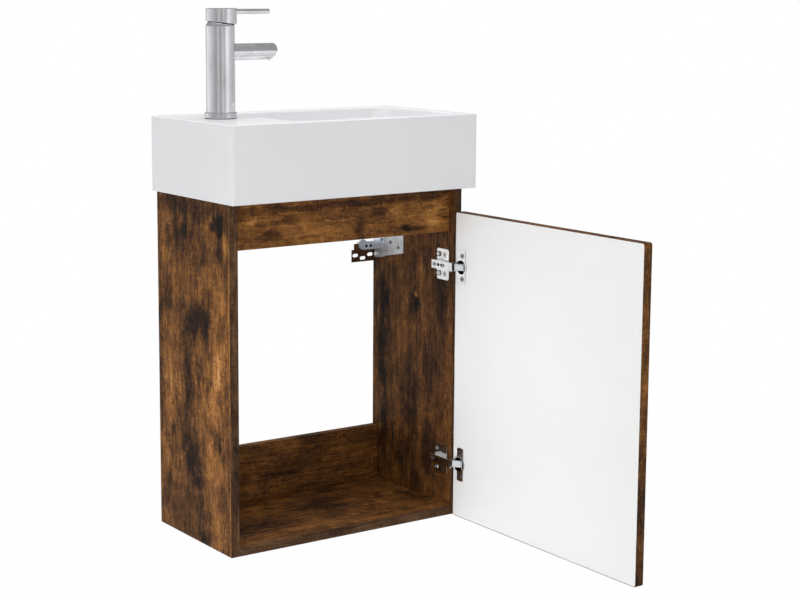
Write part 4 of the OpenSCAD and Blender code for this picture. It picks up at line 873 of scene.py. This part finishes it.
def cut_off(spot, normal):
    """A change for `cleaned`: cuts the mesh with a plane, keeps the side behind the normal, and closes the cut."""
    def cut(bm):
        """Cuts one bmesh."""
        made = bmesh.ops.bisect_plane(bm, geom=bm.verts[:] + bm.edges[:] + bm.faces[:], dist=1e-6,
                                      plane_co=Vector(spot), plane_no=Vector(normal), clear_outer=True)
        bmesh.ops.edgeloop_fill(bm, edges=[e for e in made["geom_cut"] if isinstance(e, bmesh.types.BMEdge)])
    return cut


spout_points, spout_z, spout_tip = spout_grid()
mouth_spot = np.array([spout_tip - MOUTH_BACK, tap_y, spout_z - MOUTH_DOWN])
mouth_out = np.array([math.sin(MOUTH_TURN), 0, -math.cos(MOUTH_TURN)])
tube = cleaned("spout_tube", spout_points, grid_quads(*spout_points.shape[:2]), cut_off(mouth_spot, mouth_out))
spout = place(bpy.data.objects.new("spout_tube", tube), "cabinet", chrome, ["tap_spout"], "chrome")
soften(spout, 0.5 * MM, 3, 38)
DOWN_OUT = np.column_stack([[math.cos(MOUTH_TURN), 0, math.sin(MOUTH_TURN)], [0, 1, 0], mouth_out])
aerator_r = (box("tap_aerator")[1] - box("tap_aerator")[0])[1] / 2
chromed("aerator_ring", "tap_aerator", [
    (0, -1 * MM, 0), (aerator_r, -1 * MM, 0), (aerator_r, 3 * MM, 0.5 * MM),
    (aerator_r - 1.6 * MM, 3 * MM, 0.4 * MM), (aerator_r - 1.9 * MM, 1.6 * MM, 0.2 * MM), (0, 1.6 * MM, 0)],
    mouth_spot, turn=DOWN_OUT, segments=64)
print("spout", len(spout.data.polygons), "faces, tip at", in_mm(spout_tip))

# %% [markdown]
# ## Fittings from the CAD
# Hinges, hangers, screws and the waste's lower parts already have their true shapes in the CAD model.
# A copy of each, except the screws, is merged, flat triangles are joined, and a fine bevel breaks its edges,
# because an unbroken edge never catches light as a real one does.

# %% Dressed copies of CAD pieces
def dressed(node, finish, slot, edge, name=None, sharp=32):
    """A copy of a CAD node's mesh: doubles merged, coplanar triangles dissolved, edges bevelled by `edge`."""
    source = frame["nodes"][node]
    mesh = source.data.copy()
    bm = bmesh.new()
    bm.from_mesh(mesh)
    bmesh.ops.remove_doubles(bm, verts=bm.verts, dist=2e-6)
    bmesh.ops.dissolve_degenerate(bm, edges=bm.edges, dist=1e-7)
    bmesh.ops.dissolve_limit(bm, angle_limit=math.radians(0.6), verts=bm.verts, edges=bm.edges)
    bm.to_mesh(mesh)
    bm.free()
    made = bpy.data.objects.new(name or node + "_dressed", mesh)
    place(made, source["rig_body"], finish, [node], slot, sharp)
    soften(made, edge, 2, sharp).harden_normals = True


dressed("door_panel", door_oak, "oak_decor", 0.2 * MM, name="door_core")
dressed("door_inner_sheet", white_sheet, "white_decor", 0.1 * MM, name="door_sheet")
HINGE_PLACES, HANGER_SIDES = ("upper", "lower"), ("left", "right")
for stem, ends, finish, slot, edge in (
        ("hinge_plate_", HINGE_PLACES, nickel, "nickel", 0.2), ("hinge_arm_", HINGE_PLACES, nickel, "nickel", 0.2),
        ("hanger_hook_", HANGER_SIDES, hook_steel, "nickel", 0.2),
        ("hinge_link_", HINGE_PLACES, link_steel, "nickel", 0.2),
        ("hinge_cup_", HINGE_PLACES, cup_finish_with_painted_shade, "nickel", 0.2),
        ("hanger_plate_", HANGER_SIDES, zinc, "zinc", 0.3),
        ("wall_plate_", HANGER_SIDES, bronze, "bronze", 0.25), ("cam_discs", [""], zinc, "zinc", 0.3),
        ("waste_nut", [""], chrome, "chrome", 0.3), ("waste_body", [""], chrome, "chrome", 0.3),
        ("tap_nut", [""], brass, "brass", 0.3)):
    for end in ends:
        dressed(stem + end, finish, slot, edge * MM)

# %% [markdown]
# ## Rings, slots and holes on the fittings, partly painted shade
# Stamped fittings are full of small rings: the lip of a spare hole, the slots for adjustment on the arm.
# Each is a flat ring, which is a tiny rectangle spun round its axis. A stretched ring becomes a slot.
# They stand a fraction of a millimetre off the plate. The dark ring round each screw and the grey ring
# round each spare hole are painted shade of the countersinks. Real holes would need cuts in the dressed
# meshes, and at this size a dark disc of painted shade looks the same: the arm's slot and window and the
# hooks' eyes get such dark discs and rings.

# %% Flat ring
FACE_LEFT = np.array([[0, 0, -1], [0, 1, 0], [1, 0, 0]])
FACE_FRONT = np.array([[1, 0, 0], [0, 0, -1], [0, 1, 0]])


def flat_ring(name, centre, inner, outer, rise, finish, body="cabinet", turn=FACE_LEFT, long=1.0, **more):
    """A flat ring, or a disc where inner is 0, with its radii and rise in millimetres: a small rounded rectangle
    turned round its own axis, which `turn` points at the viewer, and stretched along Y by `long`."""
    inner, outer, rise = inner * MM, outer * MM, rise * MM
    section = [(inner, rise, 0.05 * MM if inner else 0), (outer, rise, 0.06 * MM), (outer, 0, 0)]
    corners = [(inner, 0, 0)] + section if inner else section
    turn = np.diag([1, long, 1]) @ turn
    return lathe(name, corners, centre, body, finish, turn=turn, segments=40, slot="nickel", **more)


print("rings face", FACE_LEFT[:, 2], "or", FACE_FRONT[:, 2])

# %% Rings on the hinges
BOTH_WAYS = (("a", 1), ("b", -1))
HOLE_STEP, CUP_SCREW_STEP, PLATE_LIFT = 16 * MM, 19 * MM, 2 * MM
screw_low, screw_high = box("plate_screws")
screw_y = (screw_low + screw_high)[1] / 2
cup_screw_y = (box("cup_screws")[0] + box("cup_screws")[1])[1] / 2
for end in HINGE_PLACES:
    plate_low, plate_high = box("hinge_plate_" + end)
    arm_low, arm_high = box("hinge_arm_" + end)
    cup_low, cup_high = box("hinge_cup_" + end)
    mid_z, cup_z = (plate_low + plate_high)[2] / 2, (cup_low + cup_high)[2] / 2
    for tag, way in BOTH_WAYS:
        hole_z = mid_z + way * HOLE_STEP
        spare = (plate_high[0] - PLATE_LIFT, screw_y - HOLE_STEP, hole_z)
        mark = "_%s_%s" % (end, tag)
        # Painted shade: a dark ring round each screw head and a grey ring round each spare hole stand for the
        # shade in their countersinks.
        flat_ring("screw_shade_ring" + mark, (screw_low[0], screw_y, hole_z), 3.0, 4.5, 0.12, painted_shade_steel)
        flat_ring("spare_shade_ring" + mark, spare, 4.1, 4.9, 0.10, grey_mark_and_shade_steel)
        flat_ring("spare_lip" + mark, spare, 0, 3.0, 0.20, grey_mark_and_shade_steel)
    # The arm's slot gets a dark disc of painted shade in place of its screws, and its window gets a dark ring of
    # painted shade.
    for stem, back, inner, outer, finish, long, more in (
            ("arm_eccentric_", 7.5, 1.9, 3.3, grey_mark_and_shade_steel, 1.35, {}),
            ("arm_slot_", 18, 0, 2.6, painted_shade_steel, 1.25, {"replaces": ["arm_screws"]}),
            ("arm_window_", 29, 1.5, 2.7, painted_shade_steel, 2.0, {})):
        spot = (arm_low[0], arm_high[1] - back * MM, mid_z)
        flat_ring(stem + end, spot, inner, outer, 0.3, finish, long=long, **more)
    for tag, way in BOTH_WAYS:
        spot = (cup_low[0], cup_screw_y, cup_z + way * CUP_SCREW_STEP)
        flat_ring("cup_seat_%s_%s" % (end, tag), spot, 3.9, 4.8, 0.15, grey_mark_and_shade_steel, body="door")
    print(end, "hinge: middle heights of plate and cup", in_mm(mid_z, cup_z))

# %% Painted shade in the eyes of the hangers' hooks
HOOK_LEG, HOOK_UP = 30 * MM, 6 * MM
hook_low, hook_high = box("hanger_hook_right")
for tag, inside in (("a", 9 * MM), ("b", 18 * MM)):
    for side, way in (("right", 1), ("left", -1)):
        spot = (way * (hook_high[0] - inside), hook_low[1] + HOOK_LEG, hook_low[2] + HOOK_UP)
        # A dark disc in each eye is painted shade, in place of the hole.
        flat_ring("hook_eye_shade_%s_%s" % (side, tag), spot, 0, 2.6, 0.12, painted_shade_steel, turn=FACE_FRONT)
print("hooks' eyes at height", in_mm(spot[2]))

# %% [markdown]
# The push plug closes the waste: a domed chromed button on a stem. Both are turned profiles, and they
# ride on the plug's body. The button's dome is one arc of a large radius.

# %% Push plug
plug_low, plug_high = box("waste_plug")
plug_r = (plug_high - plug_low)[0] / 2
head, neck, STEM_R = plug_high[2], plug_high[2] - 3.4 * MM, 4 * MM
lathe("plug_button", [
    (0, neck, 0), (plug_r - 1.6 * MM, neck, 0.6 * MM), (plug_r, head - 1.2 * MM, 0.8 * MM),
    (plug_r * 0.62, head, 30 * MM), (0, head, 0)], (*waste, 0), "waste_plug", chrome, slot="chrome")
chromed("plug_stem", "waste_plug", [
    (0, plug_low[2], 0), (STEM_R, plug_low[2], 0.6 * MM), (STEM_R, head - 3 * MM, 0), (0, head - 3 * MM, 0)],
    (*waste, 0), "waste_plug", segments=32)
print("plug radius and top", in_mm(plug_r, head))

# %% [markdown]
# Screws, pins, seals and the tap's inner parts hardly show. Their CAD meshes stay as they are, and each
# only gets the finish of its material.

# %% Finishes of the CAD pieces that stay as they are
KEPT = {nickel: ("cam_bolts", "hinge_pins", "plate_screws"), beech: ("dowels",), brass: ("lever_stem",),
        steel: ("cup_screws", "hanger_screws", "hook_rivets", "lever_pivot_pin", "tap_stud", "tap_washer"),
        rubber: ("waste_seals", "tap_seal", "tap_gasket"), polymer: ("tap_cartridge", "cartridge_rotor")}
for finish, nodes in KEPT.items():
    for node in nodes:
        frame["nodes"][node].data.materials.clear()
        frame["nodes"][node].data.materials.append(finish)
print("CAD nodes kept with a finish of their own:", sum(len(nodes) for nodes in KEPT.values()))

# %% [markdown]
# ## Studio
# The photograph is a catalogue picture on pure white. The floor and the world are white to the camera,
# while the light that falls on the object stays at a plain level: a large soft lamp at the left, one
# above, weak ones at the front and the back, a narrow faint one on the door, and a pale sky. Polished
# metal shows whatever stands round it. A real studio has pale and grey cards there, and here the sky has
# them, for glossy rays only: they change with the compass direction and end in a grey ceiling. Planes
# round the object could be the cards, but they would shade it and get in the way of other views.

# %% Floor
FLOOR_Z, FLOOR_HALF = -0.80, 4.5
FADE_FROM, FADE_TO, NEAR_SHARE, MIRRORED_SHARE = 0.8, 3.2, 0.90, 0.3


def white_floor():
    """A pale matte floor that shows white to the camera where nothing shades it. Its own shading, with the
    object's shadow, fades out with the distance from the middle, so that its rim can't be seen."""
    f = Finish("studio_floor", Roughness=0.9, Base_Color=(0.90, 0.90, 0.90, 1), Specular_IOR_Level=0.0)
    path = f.node("ShaderNodeLightPath").outputs
    flat = f.stretch(f.spot, (1, 1, 0))
    away = f.node("ShaderNodeVectorMath", {0: flat}, operation="LENGTH").outputs[1]
    plain = f.ease(away, FADE_FROM, FADE_TO, (NEAR_SHARE, 1.0))
    mirrored = f.math("MULTIPLY", f.math("MAXIMUM", path["Is Glossy Ray"], path["Is Transmission Ray"]),
                      MIRRORED_SHARE)
    share = f.math("MAXIMUM", f.math("MULTIPLY", path["Is Camera Ray"], plain), mirrored)
    white = f.node("ShaderNodeEmission", {"Color": (1, 1, 1, 1), "Strength": 1.0}).outputs[0]
    both = f.node("ShaderNodeMixShader", {0: share, 1: f.shader.outputs[0], 2: white}).outputs[0]
    f.tree.links.new(both, f.tree.nodes["Material Output"].inputs[0])
    return f.material


floor_mesh = bpy.data.meshes.new("studio_floor")
rim = [(x * FLOOR_HALF, y * FLOOR_HALF, FLOOR_Z) for x, y in ((-1, -1), (1, -1), (1, 1), (-1, 1))]
floor_mesh.from_pydata(rim, [], [(0, 1, 2, 3)])
floor = bpy.data.objects.new("studio_floor", floor_mesh)
floor.data.materials.append(white_floor())
bpy.context.scene.collection.objects.link(floor)
print("floor at height", in_mm(FLOOR_Z))

# %% Sky
# The cards: (share of the turn round the compass, brightness). 0 lies at -X, 0.25 at -Y and 0.5 at +X.
CARDS = [(0.0, 0.54), (0.075, 0.38), (0.095, 0.50), (0.125, 0.60), (0.165, 0.38), (0.19, 0.44), (0.21, 0.66),
         (0.25, 0.52), (0.275, 0.60), (0.305, 1.0), (0.335, 1.0), (0.37, 0.80), (0.44, 0.60), (0.54, 0.58),
         (0.60, 0.50), (0.635, 0.85), (0.69, 0.85), (0.76, 0.50), (0.81, 0.95), (0.865, 0.95), (0.90, 0.78),
         (0.95, 0.70), (1.0, 0.54)]
CEILING, CEILING_FROM, CEILING_TO, AMBIENT = 0.37, -0.03, 0.26, 0.70
world = bpy.data.worlds.new("studio_sky")
bpy.context.scene.world = world
world.use_nodes = True
sky = Nodes(world.node_tree)
sky.tree.nodes.clear()


def glow(colour, strength=1.0):
    """Light of one colour from all of the sky."""
    return sky.node("ShaderNodeBackground", {"Color": colour, "Strength": strength}).outputs[0]


path = sky.node("ShaderNodeLightPath").outputs
x, y, z = sky.node("ShaderNodeSeparateXYZ", {0: sky.node("ShaderNodeTexCoord").outputs["Generated"]}).outputs
turn = sky.math("ARCTAN2", y, x)
around = sky.node("ShaderNodeMapRange", {"Value": turn, "From Min": -math.pi, "From Max": math.pi}).outputs[0]
height = sky.node("ShaderNodeMapRange", {"Value": z, "From Min": CEILING_FROM, "From Max": CEILING_TO}).outputs[0]
cards = sky.ramp(around, CARDS, lambda level: (level, level, level * 1.01, 1))
studio = glow(sky.blend(height, cards, (CEILING, CEILING, CEILING * 1.02, 1)))
plain = glow((0.98, 0.99, 1.0, 1), AMBIENT)
lit = sky.node("ShaderNodeMixShader", {0: path["Is Glossy Ray"], 1: plain, 2: studio})
seen = sky.node("ShaderNodeMixShader", {0: path["Is Camera Ray"], 1: lit.outputs[0], 2: glow((1, 1, 1, 1))})
sky.node("ShaderNodeOutputWorld", {0: seen.outputs[0]})
print("sky with", len(CARDS), "stops of cards, for glossy rays only")


# %% Lamps
def lamp(name, spot, target, size, watts, spread=180):
    """A square area lamp at spot, facing target, with its power in watts. `spread` narrows its beam, in degrees.
    Polished metal doesn't show it."""
    data = bpy.data.lights.new(name, "AREA")
    data.shape, data.size, data.energy, data.spread = "SQUARE", size, watts, math.radians(spread)
    obj = bpy.data.objects.new(name, data)
    obj.location = spot
    obj.rotation_euler = (Vector(target) - Vector(spot)).to_track_quat("-Z", "Y").to_euler()
    obj.visible_glossy = obj.visible_camera = False
    bpy.context.scene.collection.objects.link(obj)


lamp("key_left", (-4.6, -2.1, 1.2), (0, -0.3, -0.1), 3.0, 42)
lamp("fill_front", (-1.8, -4.2, 0.4), (0, -0.3, -0.1), 2.4, 9)
lamp("top_soft", (-0.1, -0.3, 2.6), (0, -0.2, 0), 1.8, 42)
lamp("fill_back", (2.2, 2.2, 1.2), (0, -0.2, -0.1), 2.0, 14)
lamp("fill_door", (-2.5, -0.9, -0.16), (0.2, -0.30, -0.20), 0.5, 0.20, spread=12)
print("lamps:", [light.name for light in bpy.data.lights])

# %% [markdown]
# ## Camera
# The photograph was taken from the front left, a little above the basin. Place, turn and focal
# length were fitted so that the corners of the basin, cabinet and door fall where they do in the picture.
# A lens shift could do all of the framing, but then views from other sides would lose a part of the
# object, so most of it is done by turning the camera.

# %% Camera
CAMERA_AT = (-1.5345, -2.4715, 0.4512)
YAW, PITCH, ROLL = math.radians(32.843), math.radians(8.440), math.radians(-0.079)
FOCAL_PIXELS, WIDTH_PIXELS, SENSOR, SHIFT = 1747.9, 800, 36.0, (0.12, -0.06)
NEAREST, FARTHEST = 0.05, 60
camera_data = bpy.data.cameras.new("studio_camera")
camera_data.sensor_width = SENSOR
camera_data.lens = FOCAL_PIXELS / WIDTH_PIXELS * SENSOR
camera_data.shift_x, camera_data.shift_y = SHIFT
camera_data.clip_start, camera_data.clip_end = NEAREST, FARTHEST
camera = bpy.data.objects.new("studio_camera", camera_data)
ahead = Vector((math.sin(YAW) * math.cos(PITCH), math.cos(YAW) * math.cos(PITCH), -math.sin(PITCH)))
level = Vector((math.cos(YAW), -math.sin(YAW), 0))
up = level.cross(ahead)
right = level * math.cos(ROLL) + up * math.sin(ROLL)
up = -level * math.sin(ROLL) + up * math.cos(ROLL)
axes = Matrix((right, up, -ahead)).transposed()
camera.matrix_world = Matrix.Translation(Vector(CAMERA_AT)) @ axes.to_4x4()
bpy.context.scene.collection.objects.link(camera)
bpy.context.scene.camera = camera
bpy.context.scene.view_settings.view_transform = "Standard"
print("lens", round(camera_data.lens, 2), "mm")
